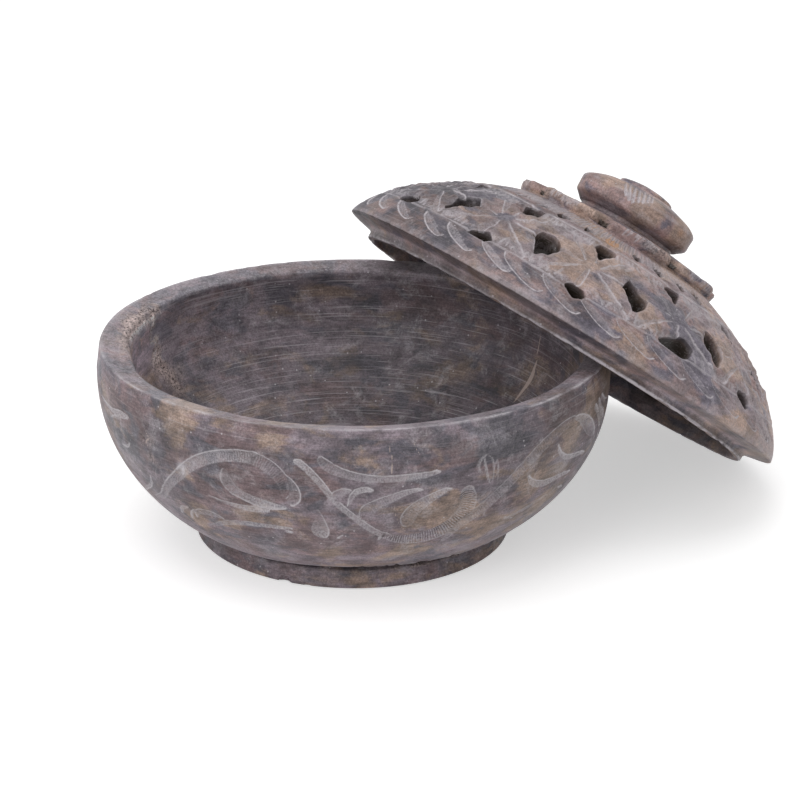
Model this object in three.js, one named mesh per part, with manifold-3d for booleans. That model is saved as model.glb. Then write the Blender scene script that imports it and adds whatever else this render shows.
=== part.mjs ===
// Carved soapstone incense holder: a turned bowl on a foot, and its pierced lid leaning against it.
// Millimetres, +Z up. The origin is the centre of the foot's flat underside, on the bowl's axis.
import * as THREE from 'three';
import { mergeVertices } from 'three/addons/utils/BufferGeometryUtils.js';
import Module from 'manifold-3d';

// Bowl
const FOOT_RADIUS = 32.3;
const FOOT_HEIGHT = 5.3;
const FOOT_ROUNDING = 0.4;
const WAIST_RADIUS = 34.8;
const BELLY_RADIUS = 50.5;
const BELLY_HEIGHT = 34.5;
const BELLY_FULLNESS = 2.25;
const RIM_RADIUS = 50;
const RIM_HEIGHT = 39.2;
const RIM_WIDTH = 4.9;
const RIM_DROP = 1;
const WELL_RADIUS = 24;
const FLOOR_HEIGHT = 9.5;
const FLOOR_DISH = 0.8;

// Lid, measured from the plane of its sharp lower edge
const LID_RADIUS = 50.2;
const LID_CLEARANCE = 0.5;
const LEDGE_DROP = 1.1;
const SPIGOT_DEPTH = 2.9;
const SPIGOT_WALL = 1.7;
const DOME_FULLNESS = 1.45;
const HOLLOW_SPRING = 2.5;
const HOLLOW_TOP = 19.6;
const HOLLOW_FULLNESS = 1.6;

// Ridge and groove that frame the collar on the dome
const RIDGE_RADIUS = 31.2;
const RIDGE_WIDTH = 0.9;
const GROOVE_DEPTH = 0.6;

// Petalled collar, neck and knob
const COLLAR_SEAT_RADIUS = 22.4;
const COLLAR_SEAT_HEIGHT = 21.7;
const COLLAR_RADIUS = 23.1;
const COLLAR_EDGE = 1.5;
const COLLAR_RISE = 1.9;
const PETAL_COUNT = 8;
const PETAL_NOTCH_WIDTH = 2.6;
const PETAL_NOTCH_DEPTH = 1.7;
const PETAL_PHASE = 129;
const NECK_RADIUS = 10.7;
const NECK_HEIGHT = 0.9;
const KNOB_RADIUS = 13.25;
const KNOB_UNDERCUT = 2;
const KNOB_CHAMFER = 1.6;
const KNOB_BAND = 3.1;
const KNOB_CROWN = 2.9;
const KNOB_FULLNESS = 1.5;
const BUTTON_RADIUS = 6.1;
const BUTTON_STEP = 0.6;
const BUTTON_RISE = 0.9;

// Piercings: four rings, each cut square to the dome
const PIERCED_COUNT = 12;
const PIERCED_PHASE = 138.3;
const PIERCED_DRIFT = 2.2;
const WINDOW = { radius: 41.2, width: 5.6, height: 9, waist: 0.12 };
const LOWER_HOLE = { radius: 46.6, width: 4.4, height: 3.4, waist: 0 };
const UPPER_HOLE = { radius: 34, width: 4, height: 6.6, waist: 0.2 };
const COLLAR_HOLE = { radius: 28, width: 2.2, height: 2.8, waist: -0.1 };
const COLLAR_HOLE_COUNT = 30;
const CUT_INWARD = 9;
const CUT_OUTWARD = 3;

// How the lid leans: its low edge stands on the table and the mouth of its hollow hangs on the rim
const LEAN_ANGLE = 36.9;
const LEAN_AZIMUTH = 30.8;
const TABLE_GAP = 0.2;
const LEAN_GAP = 0.65;

const TURNED_STEPS = 64;
const WALL_STEPS = 8;

const STONE_ROUGHNESS = 0.62;
const BOWL_COLOUR = 0x83777a;
const LID_COLOUR = 0x988a8c;

const wasm = await Module();
wasm.setup();

// A turned swell: full radius at the start height, drawn in to the end radius at the end height.
function swell(fullRadius, startHeight, endRadius, endHeight, fullness) {
  const closing = (1 - (endRadius / fullRadius) ** 2) ** (1 / fullness);
  const reach = Math.abs(endHeight - startHeight) / closing;
  return {
    radiusAt: (height) => fullRadius * Math.sqrt(1 - (Math.abs(height - startHeight) / reach) ** fullness),
    heightAt: (radius) => startHeight + reach * (1 - (radius / fullRadius) ** 2) ** (1 / fullness),
  };
}

// Profile points along a swell, the first height left out where the caller already has it.
function swellPoints(curve, fromHeight, toHeight, steps) {
  const points = [];
  for (let i = 1; i <= steps; i += 1) {
    const height = THREE.MathUtils.lerp(fromHeight, toHeight, i / steps);
    points.push([curve.radiusAt(height), height]);
  }
  return points;
}

// A turned solid about Z from a profile that starts and ends on the axis.
function turned(profile) {
  const points = profile.map(([radius, height]) => new THREE.Vector2(radius, height));
  const lathe = new THREE.LatheGeometry(points, TURNED_STEPS);
  lathe.rotateX(Math.PI / 2);
  return solidOf(lathe);
}

// A closed geometry as a solid: shared corners merged and the collapsed triangles at the poles left out.
function solidOf(geometry) {
  geometry.deleteAttribute('normal');
  geometry.deleteAttribute('uv');
  const merged = mergeVertices(geometry, 1e-4);
  const corners = merged.index.array;
  const triangles = [];
  for (let i = 0; i < corners.length; i += 3) {
    const [a, b, c] = [corners[i], corners[i + 1], corners[i + 2]];
    if (a !== b && b !== c && c !== a) {
      triangles.push(a, b, c);
    }
  }
  const vertProperties = new Float32Array(merged.attributes.position.array);
  const triVerts = new Uint32Array(triangles);
  return new wasm.Manifold(new wasm.Mesh({ numProp: 3, vertProperties, triVerts }));
}

function geometryOf(solid) {
  const mesh = solid.getMesh();
  const geometry = new THREE.BufferGeometry();
  geometry.setAttribute('position', new THREE.BufferAttribute(new Float32Array(mesh.vertProperties), 3));
  geometry.setIndex(new THREE.BufferAttribute(new Uint32Array(mesh.triVerts), 1));
  geometry.computeVertexNormals();
  return geometry;
}

function stoneMesh(name, solid, colour) {
  const material = new THREE.MeshStandardMaterial({ color: colour, roughness: STONE_ROUGHNESS, metalness: 0 });
  const mesh = new THREE.Mesh(geometryOf(solid), material);
  mesh.name = name;
  return mesh;
}

const rimInnerRadius = RIM_RADIUS - RIM_WIDTH;
const rimInnerHeight = RIM_HEIGHT - RIM_DROP;
const spigotRadius = rimInnerRadius - LID_CLEARANCE;
const hollowRadius = spigotRadius - SPIGOT_WALL;
const dome = swell(LID_RADIUS, 0, COLLAR_SEAT_RADIUS, COLLAR_SEAT_HEIGHT, DOME_FULLNESS);

function bowlSolid() {
  const outside = swell(BELLY_RADIUS, BELLY_HEIGHT, WAIST_RADIUS, FOOT_HEIGHT, BELLY_FULLNESS);
  const inside = swell(rimInnerRadius, BELLY_HEIGHT, WELL_RADIUS, FLOOR_HEIGHT, BELLY_FULLNESS);
  return turned([
    [0, 0],
    [FOOT_RADIUS - FOOT_ROUNDING, 0],
    [FOOT_RADIUS, FOOT_ROUNDING],
    [FOOT_RADIUS, FOOT_HEIGHT],
    [WAIST_RADIUS, FOOT_HEIGHT],
    ...swellPoints(outside, FOOT_HEIGHT, BELLY_HEIGHT, WALL_STEPS),
    [RIM_RADIUS, RIM_HEIGHT],
    [rimInnerRadius, rimInnerHeight],
    [rimInnerRadius, BELLY_HEIGHT],
    ...swellPoints(inside, BELLY_HEIGHT, FLOOR_HEIGHT, WALL_STEPS),
    [0, FLOOR_HEIGHT - FLOOR_DISH],
  ]);
}

// The collar, neck and knob, from the collar's seat on the dome up to the crown on the axis.
function knobProfile() {
  const collarTop = COLLAR_SEAT_HEIGHT + COLLAR_RADIUS - COLLAR_SEAT_RADIUS + COLLAR_EDGE;
  const neckFoot = collarTop + COLLAR_RISE;
  const knobFoot = neckFoot + NECK_HEIGHT;
  const bandFoot = knobFoot + KNOB_CHAMFER;
  const bandTop = bandFoot + KNOB_BAND;
  const crownTop = bandTop + KNOB_CROWN;
  const buttonFoot = crownTop + BUTTON_STEP;
  const crown = swell(KNOB_RADIUS, bandTop, BUTTON_RADIUS, crownTop, KNOB_FULLNESS);
  const button = swell(BUTTON_RADIUS, buttonFoot, 0, buttonFoot + BUTTON_RISE, 2);
  return [
    [COLLAR_RADIUS, collarTop - COLLAR_EDGE],
    [COLLAR_RADIUS, collarTop],
    [NECK_RADIUS, neckFoot],
    [NECK_RADIUS, knobFoot],
    [KNOB_RADIUS - KNOB_UNDERCUT, knobFoot],
    [KNOB_RADIUS, bandFoot],
    [KNOB_RADIUS, bandTop],
    ...swellPoints(crown, bandTop, crownTop, 4),
    [BUTTON_RADIUS, buttonFoot],
    ...swellPoints(button, buttonFoot, buttonFoot + BUTTON_RISE, 3),
  ];
}

// The dome's outside from its sharp edge up to the collar, with the ridge and the groove behind it.
function domeProfile() {
  const grooveRadius = RIDGE_RADIUS - RIDGE_WIDTH;
  const bandRadius = grooveRadius - RIDGE_WIDTH;
  return [
    [LID_RADIUS, 0],
    ...swellPoints(dome, 0, dome.heightAt(RIDGE_RADIUS), WALL_STEPS),
    [grooveRadius, dome.heightAt(grooveRadius)],
    [grooveRadius, dome.heightAt(grooveRadius) - GROOVE_DEPTH],
    [bandRadius, dome.heightAt(bandRadius)],
    ...swellPoints(dome, dome.heightAt(bandRadius), COLLAR_SEAT_HEIGHT, 3),
  ];
}

// The underside, from the crown of the hollow down to the locating ring and out to the sharp edge.
function undersideProfile() {
  const hollow = swell(hollowRadius, HOLLOW_SPRING, 0, HOLLOW_TOP, HOLLOW_FULLNESS);
  return [
    ...swellPoints(hollow, HOLLOW_SPRING, HOLLOW_TOP, WALL_STEPS).reverse(),
    [hollowRadius, HOLLOW_SPRING],
    [hollowRadius, -SPIGOT_DEPTH],
    [spigotRadius, -SPIGOT_DEPTH],
    [spigotRadius, -LEDGE_DROP],
  ];
}

// A kite-shaped piercing with a blunt top. Its waist is a share of its height above the middle.
function piercingOutline({ width, height, waist }) {
  const shape = new THREE.Shape();
  shape.moveTo(0, -height / 2);
  shape.lineTo(width / 2, height * waist);
  shape.lineTo(width / 4, height / 2);
  shape.lineTo(-width / 4, height / 2);
  shape.lineTo(-width / 2, height * waist);
  return shape;
}

// A cutter standing square to the dome at the piercing's radius, on the given azimuth in degrees.
function piercing(hole, azimuth) {
  const step = 0.1;
  const slope = (dome.heightAt(hole.radius + step) - dome.heightAt(hole.radius - step)) / (2 * step);
  const angle = THREE.MathUtils.degToRad(azimuth);
  const outward = new THREE.Vector3(Math.cos(angle), Math.sin(angle), 0);
  const around = new THREE.Vector3(-Math.sin(angle), Math.cos(angle), 0);
  const upSlope = new THREE.Vector3(0, 0, -slope).sub(outward).normalize();
  const square = new THREE.Vector3().crossVectors(around, upSlope);
  const cutter = new THREE.ExtrudeGeometry(piercingOutline(hole), {
    depth: CUT_INWARD + CUT_OUTWARD,
    bevelEnabled: false,
  });
  cutter.translate(0, 0, -CUT_INWARD);
  const place = outward.clone().multiplyScalar(hole.radius).setZ(dome.heightAt(hole.radius));
  cutter.applyMatrix4(new THREE.Matrix4().makeBasis(around, upSlope, square).setPosition(place));
  return solidOf(cutter);
}

// The spacing of the carved pattern closes up a little around its phase, as cut by hand.
function carvedAzimuth(turn) {
  const even = turn * 360;
  return PIERCED_PHASE + even - PIERCED_DRIFT * Math.sin(THREE.MathUtils.degToRad(even));
}

function piercings() {
  const cutters = [];
  for (let i = 0; i < PIERCED_COUNT; i += 1) {
    const onStar = carvedAzimuth(i / PIERCED_COUNT);
    const betweenStars = carvedAzimuth((i + 0.5) / PIERCED_COUNT);
    cutters.push(piercing(UPPER_HOLE, onStar), piercing(LOWER_HOLE, onStar), piercing(WINDOW, betweenStars));
  }
  for (let i = 0; i < COLLAR_HOLE_COUNT; i += 1) {
    cutters.push(piercing(COLLAR_HOLE, carvedAzimuth(i / COLLAR_HOLE_COUNT)));
  }
  return cutters;
}

// A V notch between two petals, cut through the collar's edge from its underside up.
function petalNotch(azimuth) {
  const notch = new THREE.Shape();
  const outside = COLLAR_RADIUS + 1;
  const spread = (PETAL_NOTCH_WIDTH / 2) * ((PETAL_NOTCH_DEPTH + 1) / PETAL_NOTCH_DEPTH);
  notch.moveTo(COLLAR_RADIUS - PETAL_NOTCH_DEPTH, 0);
  notch.lineTo(outside, -spread);
  notch.lineTo(outside, spread);
  const cutter = new THREE.ExtrudeGeometry(notch, { depth: COLLAR_EDGE + COLLAR_RISE, bevelEnabled: false });
  cutter.translate(0, 0, COLLAR_SEAT_HEIGHT + (COLLAR_RADIUS - COLLAR_SEAT_RADIUS) / 2);
  cutter.rotateZ(THREE.MathUtils.degToRad(azimuth));
  return solidOf(cutter);
}

function lidSolid() {
  let lid = turned([...undersideProfile(), ...domeProfile(), ...knobProfile()]);
  for (const cutter of piercings()) {
    lid = lid.subtract(cutter);
  }
  for (let i = 0; i < PETAL_COUNT; i += 1) {
    lid = lid.subtract(petalNotch(PETAL_PHASE + (360 * i) / PETAL_COUNT));
  }
  return lid;
}

// The lean: the low edge stands on the table, and the mouth of the hollow hangs on the rim's outer
// edge at two points, alike on both sides of the upright plane through both axes.
function leanPosition(angle, azimuth) {
  const height = LID_RADIUS * Math.sin(angle) + TABLE_GAP;
  const rise = RIM_HEIGHT - height;
  const setback = rise / Math.tan(angle) + SPIGOT_DEPTH / Math.sin(angle);
  const upSlope = Math.cos(angle) * setback + Math.sin(angle) * rise;
  const halfChord = Math.sqrt((hollowRadius - LEAN_GAP) ** 2 - upSlope ** 2);
  const reach = setback + Math.sqrt(RIM_RADIUS ** 2 - halfChord ** 2);
  return new THREE.Vector3(reach * Math.cos(azimuth), reach * Math.sin(azimuth), height);
}

function leaningLid() {
  const angle = THREE.MathUtils.degToRad(LEAN_ANGLE);
  const azimuth = THREE.MathUtils.degToRad(LEAN_AZIMUTH);
  const lean = new THREE.Group();
  lean.position.copy(leanPosition(angle, azimuth));
  lean.rotation.set(angle, 0, azimuth + Math.PI / 2, 'ZYX');
  lean.add(stoneMesh('lid', lidSolid(), LID_COLOUR));
  return lean;
}

const holder = new THREE.Group();
holder.add(stoneMesh('bowl', bowlSolid(), BOWL_COLOUR));
holder.add(leaningLid());

export default holder;
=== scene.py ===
"""A carved soapstone incense holder: a turned bowl on a foot, and its pierced lid leaning on the rim.

Lengths are millimetres up to the moment a mesh is made, and azimuths are degrees about a piece's own axis.
"""

from __future__ import annotations

import logging
import math
from collections.abc import Callable, Iterable
from dataclasses import dataclass, field, replace
from enum import Enum

import bpy
import numpy as np
from mathutils import Matrix, Vector
from mathutils.kdtree import KDTree


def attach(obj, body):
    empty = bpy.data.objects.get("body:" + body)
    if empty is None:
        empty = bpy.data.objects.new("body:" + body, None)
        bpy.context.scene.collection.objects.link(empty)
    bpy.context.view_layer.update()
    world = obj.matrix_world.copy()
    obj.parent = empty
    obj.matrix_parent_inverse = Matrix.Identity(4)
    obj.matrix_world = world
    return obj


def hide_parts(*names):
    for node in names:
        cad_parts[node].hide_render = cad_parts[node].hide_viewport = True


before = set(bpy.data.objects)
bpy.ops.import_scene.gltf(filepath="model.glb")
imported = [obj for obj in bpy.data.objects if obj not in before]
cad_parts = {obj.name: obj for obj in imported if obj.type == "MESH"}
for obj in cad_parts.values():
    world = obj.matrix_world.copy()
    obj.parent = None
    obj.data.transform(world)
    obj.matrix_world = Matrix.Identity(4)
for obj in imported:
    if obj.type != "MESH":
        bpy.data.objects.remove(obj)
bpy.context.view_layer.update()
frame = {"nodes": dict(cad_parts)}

MM = 0.001
# A profile distance far from every cut, for the points that no cut reaches.
OFF_THE_CUTS = -50.0
Array = np.ndarray
Colour = tuple[float, float, float]

log = logging.getLogger("incense_holder")


class Body(Enum):
    """The moving bodies of the model."""

    BOWL = "bowl"
    LID = "lid"


class Mark(Enum):
    """The values that a mesh keeps at each point for its finish to read."""

    CUT = "cut"
    TONE = "tone"
    # Painted shade of hollows, edges worn pale with painted edge highlights, and crust.
    SHADING_WEAR_AND_CRUST = "shading_wear_and_crust"
    FILM = "film"
    HUE = "hue"


def smooth_step(low: float, high: float, value: Array) -> Array:
    """Rises smoothly from 0 at low to 1 at high.

    Args:
        low: where the rise starts.
        high: where it ends; it may be below low, for a fall.
        value: the values to grade.

    Returns:
        The graded values, between 0 and 1.
    """
    share = np.clip((value - low) / (high - low), 0, 1)
    return share * share * (3 - 2 * share)


def turn_between(azimuth: Array, centre: float) -> Array:
    """The signed turn from centre to each azimuth, in degrees between -180 and 180."""
    return (azimuth - centre + 180) % 360 - 180


def hump(offset: Array, reach: float | Array, power: int = 2) -> Array:
    """A smooth rise to 1 where the offset is 0, with about a third of it left one reach away.

    Args:
        offset: how far each place is from the middle.
        reach: how wide the hump is.
        power: 2 for a bell, and more for a flatter top.

    Returns:
        The values, between 0 and 1.
    """
    return np.exp(-((offset / reach) ** power))


class Wobble:
    """A smooth uneven field in space, made of plane waves with seeded directions."""

    def __init__(self, seed: int, wavelength: float, waves: int = 22) -> None:
        """Draws the waves.

        Args:
            seed: fixes the draw.
            wavelength: typical distance between swellings, in millimetres.
            waves: how many plane waves are summed.
        """
        draw = np.random.default_rng(seed)
        directions = draw.normal(size=(waves, 3))
        directions /= np.linalg.norm(directions, axis=1)[:, None]
        lengths = wavelength * draw.uniform(0.7, 1.5, waves)
        self.vectors = directions * (2 * math.pi / lengths)[:, None]
        self.phases = draw.uniform(0, 2 * math.pi, waves)

    def at(self, points: Array) -> Array:
        """The field at each point, mostly between -2 and 2.

        Args:
            points: places in millimetres, one row each.

        Returns:
            One value for each point.
        """
        waves = np.sin(points @ self.vectors.T + self.phases)
        return waves.sum(axis=1) * math.sqrt(2 / len(self.phases))


@dataclass(frozen=True)
class Swell:
    """A turned curve with its full radius at the start height, drawn in towards its end height."""

    full_radius: float
    start_height: float
    end_radius: float
    end_height: float
    fullness: float

    @property
    def reach(self) -> float:
        """The signed height over which the curve would close on the axis."""
        closing = (1 - (self.end_radius / self.full_radius) ** 2) ** (1 / self.fullness)
        return (self.end_height - self.start_height) / closing

    def radius_at(self, height: float) -> float:
        """The curve's radius at a height."""
        share = min(1.0, abs((height - self.start_height) / self.reach))
        return self.full_radius * math.sqrt(1 - share**self.fullness)

    def height_at(self, radius: float) -> float:
        """The curve's height at a radius."""
        share = max(0.0, 1 - (radius / self.full_radius) ** 2)
        return self.start_height + self.reach * share ** (1 / self.fullness)

    def points(self, start: float, end: float, steps: int) -> list[tuple[float, float]]:
        """Points along the curve between two heights.

        Args:
            start: height of the first point.
            end: height of the last point.
            steps: how many spans lie between them.

        Returns:
            Radius and height of each point.
        """
        heights = [start + (end - start) * i / steps for i in range(steps + 1)]
        return [(self.radius_at(height), height) for height in heights]


@dataclass(frozen=True)
class Course:
    """A run of a turned profile: its corners, its rings' spacing and points, and the corners' rounding."""

    points: list[tuple[float, float]]
    spacing: float
    columns: int
    ease: float = 0.3


class TurnedSkin:
    """A closed skin of rings about an axis, with one point on the axis at each end."""

    def __init__(self, courses: list[Course]) -> None:
        """Lays the rings along a profile.

        Args:
            courses: runs of the profile from pole to pole, the stone on the left of the way.
        """
        rings = self._sample(self._eased(courses))
        self.poles = (rings[0][:2], rings[-1][:2])
        inner = rings[1:-1]
        self.counts = [int(ring[2]) for ring in inner]
        path = np.array([ring[:2] for ring in rings])
        step = path[2:] - path[:-2]
        step /= np.linalg.norm(step, axis=1)[:, None]
        lengths = np.linalg.norm(np.diff(path, axis=0), axis=1)
        rows = np.cumsum(lengths)[:-1]
        self.path = path[1:-1]
        self.rows = rows
        counts = np.array(self.counts)
        self.radius = np.repeat(path[1:-1, 0], counts)
        self.height = np.repeat(path[1:-1, 1], counts)
        self.row = np.repeat(rows, counts)
        self.out_radial = np.repeat(step[:, 1], counts)
        self.out_axial = np.repeat(-step[:, 0], counts)
        self.azimuth = np.concatenate([np.arange(n) * 360 / n for n in self.counts])

    @staticmethod
    def _eased(courses: list[Course]) -> list[tuple[float, float, Course]]:
        """Rounds the corners of the profile.

        Args:
            courses: the profile's runs.

        Returns:
            Radius, height and course of each point of the rounded profile.
        """
        corners = []
        for course in courses:
            for point in course.points:
                if not corners or math.dist(point, corners[-1][:2]) > 1e-6:
                    corners.append((*point, course))
        sharp = math.cos(math.radians(16))
        eased = [corners[0]]
        for before, here, after in zip(corners, corners[1:], corners[2:]):
            to_before = Vector(before[:2]) - Vector(here[:2])
            to_after = Vector(after[:2]) - Vector(here[:2])
            if -to_before.normalized().dot(to_after.normalized()) > sharp:
                eased.append(here)
                continue
            ease = here[2].ease
            first = Vector(here[:2]) + to_before.normalized() * min(ease, to_before.length * 0.45)
            last = Vector(here[:2]) + to_after.normalized() * min(ease, to_after.length * 0.45)
            middle = first * 0.25 + Vector(here[:2]) * 0.5 + last * 0.25
            eased += [(*point, here[2]) for point in (first, middle, last)]
        return [*eased, corners[-1]]

    @staticmethod
    def _sample(corners: list[tuple[float, float, Course]]) -> list[tuple[float, float, int]]:
        """Adds rings between the corners where they are far apart.

        Args:
            corners: radius, height and course of each corner.

        Returns:
            Radius, height and number of points of each ring.
        """
        rings = [(*corners[0][:2], corners[0][2].columns)]
        for start, end in zip(corners, corners[1:]):
            course = end[2]
            parts = max(1, math.ceil(math.dist(start[:2], end[:2]) / course.spacing - 0.01))
            for i in range(1, parts + 1):
                share = i / parts
                radius = start[0] + (end[0] - start[0]) * share
                height = start[1] + (end[1] - start[1]) * share
                rings.append((radius, height, course.columns))
        return rings

    def points(self) -> Array:
        """Where each point of the rings stands, in millimetres."""
        turn = np.radians(self.azimuth)
        return np.stack([self.radius * np.cos(turn), self.radius * np.sin(turn), self.height], axis=1)

    def press(self, depth: Array) -> None:
        """Moves each point into the stone by its depth."""
        self.radius = self.radius - depth * self.out_radial
        self.height = self.height - depth * self.out_axial

    def faces(self) -> list[tuple[int, ...]]:
        """The faces between neighbouring rings and round both poles."""
        starts = np.concatenate([[0], np.cumsum(self.counts)])
        first_pole = int(starts[-1])
        made = [(first_pole, (j + 1) % self.counts[0], j) for j in range(self.counts[0])]
        for ring, (near, far) in enumerate(zip(self.counts, self.counts[1:])):
            made += self._band(int(starts[ring]), near, int(starts[ring + 1]), far)
        last = self.counts[-1]
        base = int(starts[-2])
        made += [(first_pole + 1, base + j, base + (j + 1) % last) for j in range(last)]
        return made

    @staticmethod
    def _band(start: int, near: int, next_start: int, far: int) -> list[tuple[int, ...]]:
        """The faces between two rings of equal count, or of which one has twice the other's.

        Args:
            start: number of the first point of the near ring.
            near: points in the near ring.
            next_start: number of the first point of the far ring.
            far: points in the far ring.

        Returns:
            The faces, turned outwards.
        """
        if near == far:
            return [
                (start + j, start + (j + 1) % near, next_start + (j + 1) % far, next_start + j)
                for j in range(near)
            ]
        made = []
        for j in range(min(near, far)):
            after = (j + 1) % min(near, far)
            if near > far:
                fine = [start + 2 * j, start + 2 * j + 1, start + 2 * after]
                coarse = [next_start + j, next_start + after]
                made += [
                    (fine[0], fine[1], coarse[0]),
                    (fine[1], coarse[1], coarse[0]),
                    (fine[1], fine[2], coarse[1]),
                ]
            else:
                fine = [next_start + 2 * j, next_start + 2 * j + 1, next_start + 2 * after]
                coarse = [start + j, start + after]
                made += [
                    (coarse[0], fine[1], fine[0]),
                    (coarse[0], coarse[1], fine[1]),
                    (coarse[1], fine[2], fine[1]),
                ]
        return made

    def mesh(self, name: str) -> bpy.types.Mesh:
        """Makes the mesh, in metres in the piece's own frame.

        Args:
            name: the mesh's name.

        Returns:
            The closed mesh.
        """
        poles = np.array([[0, 0, self.poles[0][1]], [0, 0, self.poles[1][1]]])
        points = np.concatenate([self.points(), poles]) * MM
        mesh = bpy.data.meshes.new(name)
        mesh.from_pydata(points.tolist(), [], self.faces())
        mesh.update()
        return mesh


@dataclass(frozen=True)
class Stroke:
    """One stroke of the gouge: azimuth, row and width at points along it, and its depth where it is widest.

    A row is the distance along the turned profile, or what the carver's chart turns into one. Powder and edge
    say how pale the floor and the edge are at the start and the end, where a floor below 0 gets a painted
    shade.
    The paler edge, partly powder and partly a painted highlight, is on the left of the way where lit is 1,
    and on the right where it is -1.
    """

    way: tuple[tuple[float, float, float], ...]
    depth: float = 0.4
    lean: float = 0.3
    powder: tuple[float, float] = (0.5, 0.5)
    edge: tuple[float, float] = (0.7, 0.7)
    chatter: float = 0.0
    lit: float = 1.0

    def moved(self, centre: float, new_centre: float, stretch: float) -> Stroke:
        """The same stroke cut elsewhere round the piece.

        Args:
            centre: azimuth that the motif stands at now.
            new_centre: azimuth that it is moved to.
            stretch: how much wider it gets.

        Returns:
            The moved stroke.
        """
        way = tuple((new_centre + (a - centre) * stretch, row, width) for a, row, width in self.way)
        return replace(self, way=way)

    def sampled(self, per_span: int = 6) -> Array:
        """Points along a smooth curve through the stroke's own points.

        Args:
            per_span: how many points each span gets.

        Returns:
            Azimuth, row and width of each point.
        """
        way = np.array(self.way, float)
        if len(way) == 2:
            shares = np.linspace(0, 1, per_span + 1)[:, None]
            return way[0] + (way[1] - way[0]) * shares
        padded = np.concatenate([2 * way[:1] - way[1:2], way, 2 * way[-1:] - way[-2:-1]])
        shares = np.arange(per_span)[:, None] / per_span
        spans = []
        for a, b, c, d in zip(padded, padded[1:], padded[2:], padded[3:]):
            linear = (c - a) * shares
            square = (2 * a - 5 * b + 4 * c - d) * shares**2
            cube = (3 * b - a - 3 * c + d) * shares**3
            spans.append(0.5 * (2 * b + linear + square + cube))
        return np.concatenate([*spans, way[-1:]])


@dataclass
class CutMarks:
    """What the gouge leaves at each point.

    The marks are the distance to the nearest cut's edge, the side, the way along it, the depth, and the tone:
    how powdery the floor is, how pale the edge, and how strong the chatter.
    """

    edge: Array
    side: Array
    along: Array
    depth: Array
    tone: Array

    @classmethod
    def none(cls, count: int) -> CutMarks:
        """Marks for points that no cut is near."""
        blank = np.zeros(count)
        return cls(
            np.full(count, Carving.FAR), blank.copy(), blank.copy(), blank.copy(), np.zeros((count, 3))
        )

    def joined(self, other: CutMarks) -> CutMarks:
        """These marks together with those of another carving on the same points."""
        closer = other.edge < self.edge
        return CutMarks(
            edge=np.minimum(self.edge, other.edge),
            side=np.where(closer, other.side, self.side),
            along=np.where(closer, other.along, self.along),
            depth=np.maximum(self.depth, other.depth),
            tone=np.where(closer[:, None], other.tone, self.tone),
        )

    def lines(self) -> Array:
        """Edge distance, side and way along, as one array."""
        return np.stack([self.edge, self.side, self.along], axis=1)


class Carving:
    """All strokes of the gouge on one turned surface."""

    FAR = 3.0

    def __init__(
        self, strokes: Iterable[Stroke], row_of: Callable[[Array], Array], girth: Callable[[Array], Array]
    ) -> None:
        """Keeps the strokes with the chart that they are drawn on.

        Args:
            strokes: the strokes, in azimuth and the chart's own rows.
            row_of: turns the chart's rows into distance along the profile.
            girth: gives the radius at a chart row, for widths round the piece.
        """
        self.strokes = list(strokes)
        self.row_of = row_of
        self.girth = girth

    def at(self, azimuth: Array, row: Array) -> CutMarks:
        """Works out the marks at points of the surface.

        Args:
            azimuth: degrees round the piece.
            row: distance along the profile, in millimetres.

        Returns:
            The marks at each point.
        """
        marks = CutMarks.none(len(azimuth))
        for stroke in self.strokes:
            self._cut(stroke, azimuth, row, marks)
        return marks

    def _cut(self, stroke: Stroke, azimuth: Array, row: Array, marks: CutMarks) -> None:
        """Adds one stroke to the marks.

        Args:
            stroke: the stroke to cut.
            azimuth: degrees round the piece at each point.
            row: distance along the profile at each point.
            marks: the marks to update.
        """
        way = stroke.sampled()
        centre = float(way[:, 0].mean())
        scale = math.pi / 180 * float(self.girth(way[:, 1]).mean())
        path = np.stack([(way[:, 0] - centre) * scale, self.row_of(way[:, 1])], axis=1)
        half = way[:, 2] / 2
        margin = half.max() + 1.2
        x = turn_between(azimuth, centre) * scale
        low, high = path.min(axis=0) - margin, path.max(axis=0) + margin
        near = np.flatnonzero((x > low[0]) & (x < high[0]) & (row > low[1]) & (row < high[1]))
        if not len(near):
            return
        place = np.stack([x[near], row[near]], axis=1)
        span = np.diff(path, axis=0)
        length = np.maximum(np.linalg.norm(span, axis=1), 1e-6)
        offset = place[:, None] - path[None, :-1]
        share = np.clip((offset * span).sum(axis=2) / length**2, 0, 1)
        gap = offset - share[..., None] * span
        distance = np.linalg.norm(gap, axis=2)
        width = half[:-1] + np.diff(half) * share
        nearest = (distance - width).argmin(axis=1)
        pick = (np.arange(len(near)), nearest)
        edge = distance[pick] - width[pick]
        turn = span[nearest, 0] * gap[pick][:, 1] - span[nearest, 1] * gap[pick][:, 0]
        side = np.clip(np.sign(turn) * distance[pick] / np.maximum(width[pick], 0.05), -2, 2)
        start = np.concatenate([[0], np.cumsum(length)])
        along = start[nearest] + share[pick] * length[nearest]
        done = np.clip(along / start[-1], 0, 1)
        tone = np.stack(
            [
                np.interp(done, (0, 1), stroke.powder), np.interp(done, (0, 1), stroke.edge),
                np.full(len(near), stroke.chatter),
            ],
            axis=1,
        )
        fall = np.where(
            side > stroke.lean, (side - stroke.lean) / (1 - stroke.lean),
            (stroke.lean - side) / (1 + stroke.lean),
        )
        fullness = (width[pick] / half.max()) ** 0.6
        depth = stroke.depth * fullness * np.clip(1 - np.abs(fall) ** 1.5, 0, 1)
        closer = edge < marks.edge[near]
        chosen = near[closer]
        marks.edge[chosen] = edge[closer]
        marks.side[chosen] = side[closer] * stroke.lit
        marks.along[chosen] = along[closer]
        marks.tone[chosen] = tone[closer]
        marks.depth[near] = np.maximum(marks.depth[near], depth)


@dataclass(frozen=True)
class Patch:
    """A place where the stone differs: its azimuth, level and reach, and how warm, rosy and light it is."""

    azimuth: float
    level: float
    reach: float
    warmth: float = 0.0
    rose: float = 0.0
    light: float = 0.0


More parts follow.
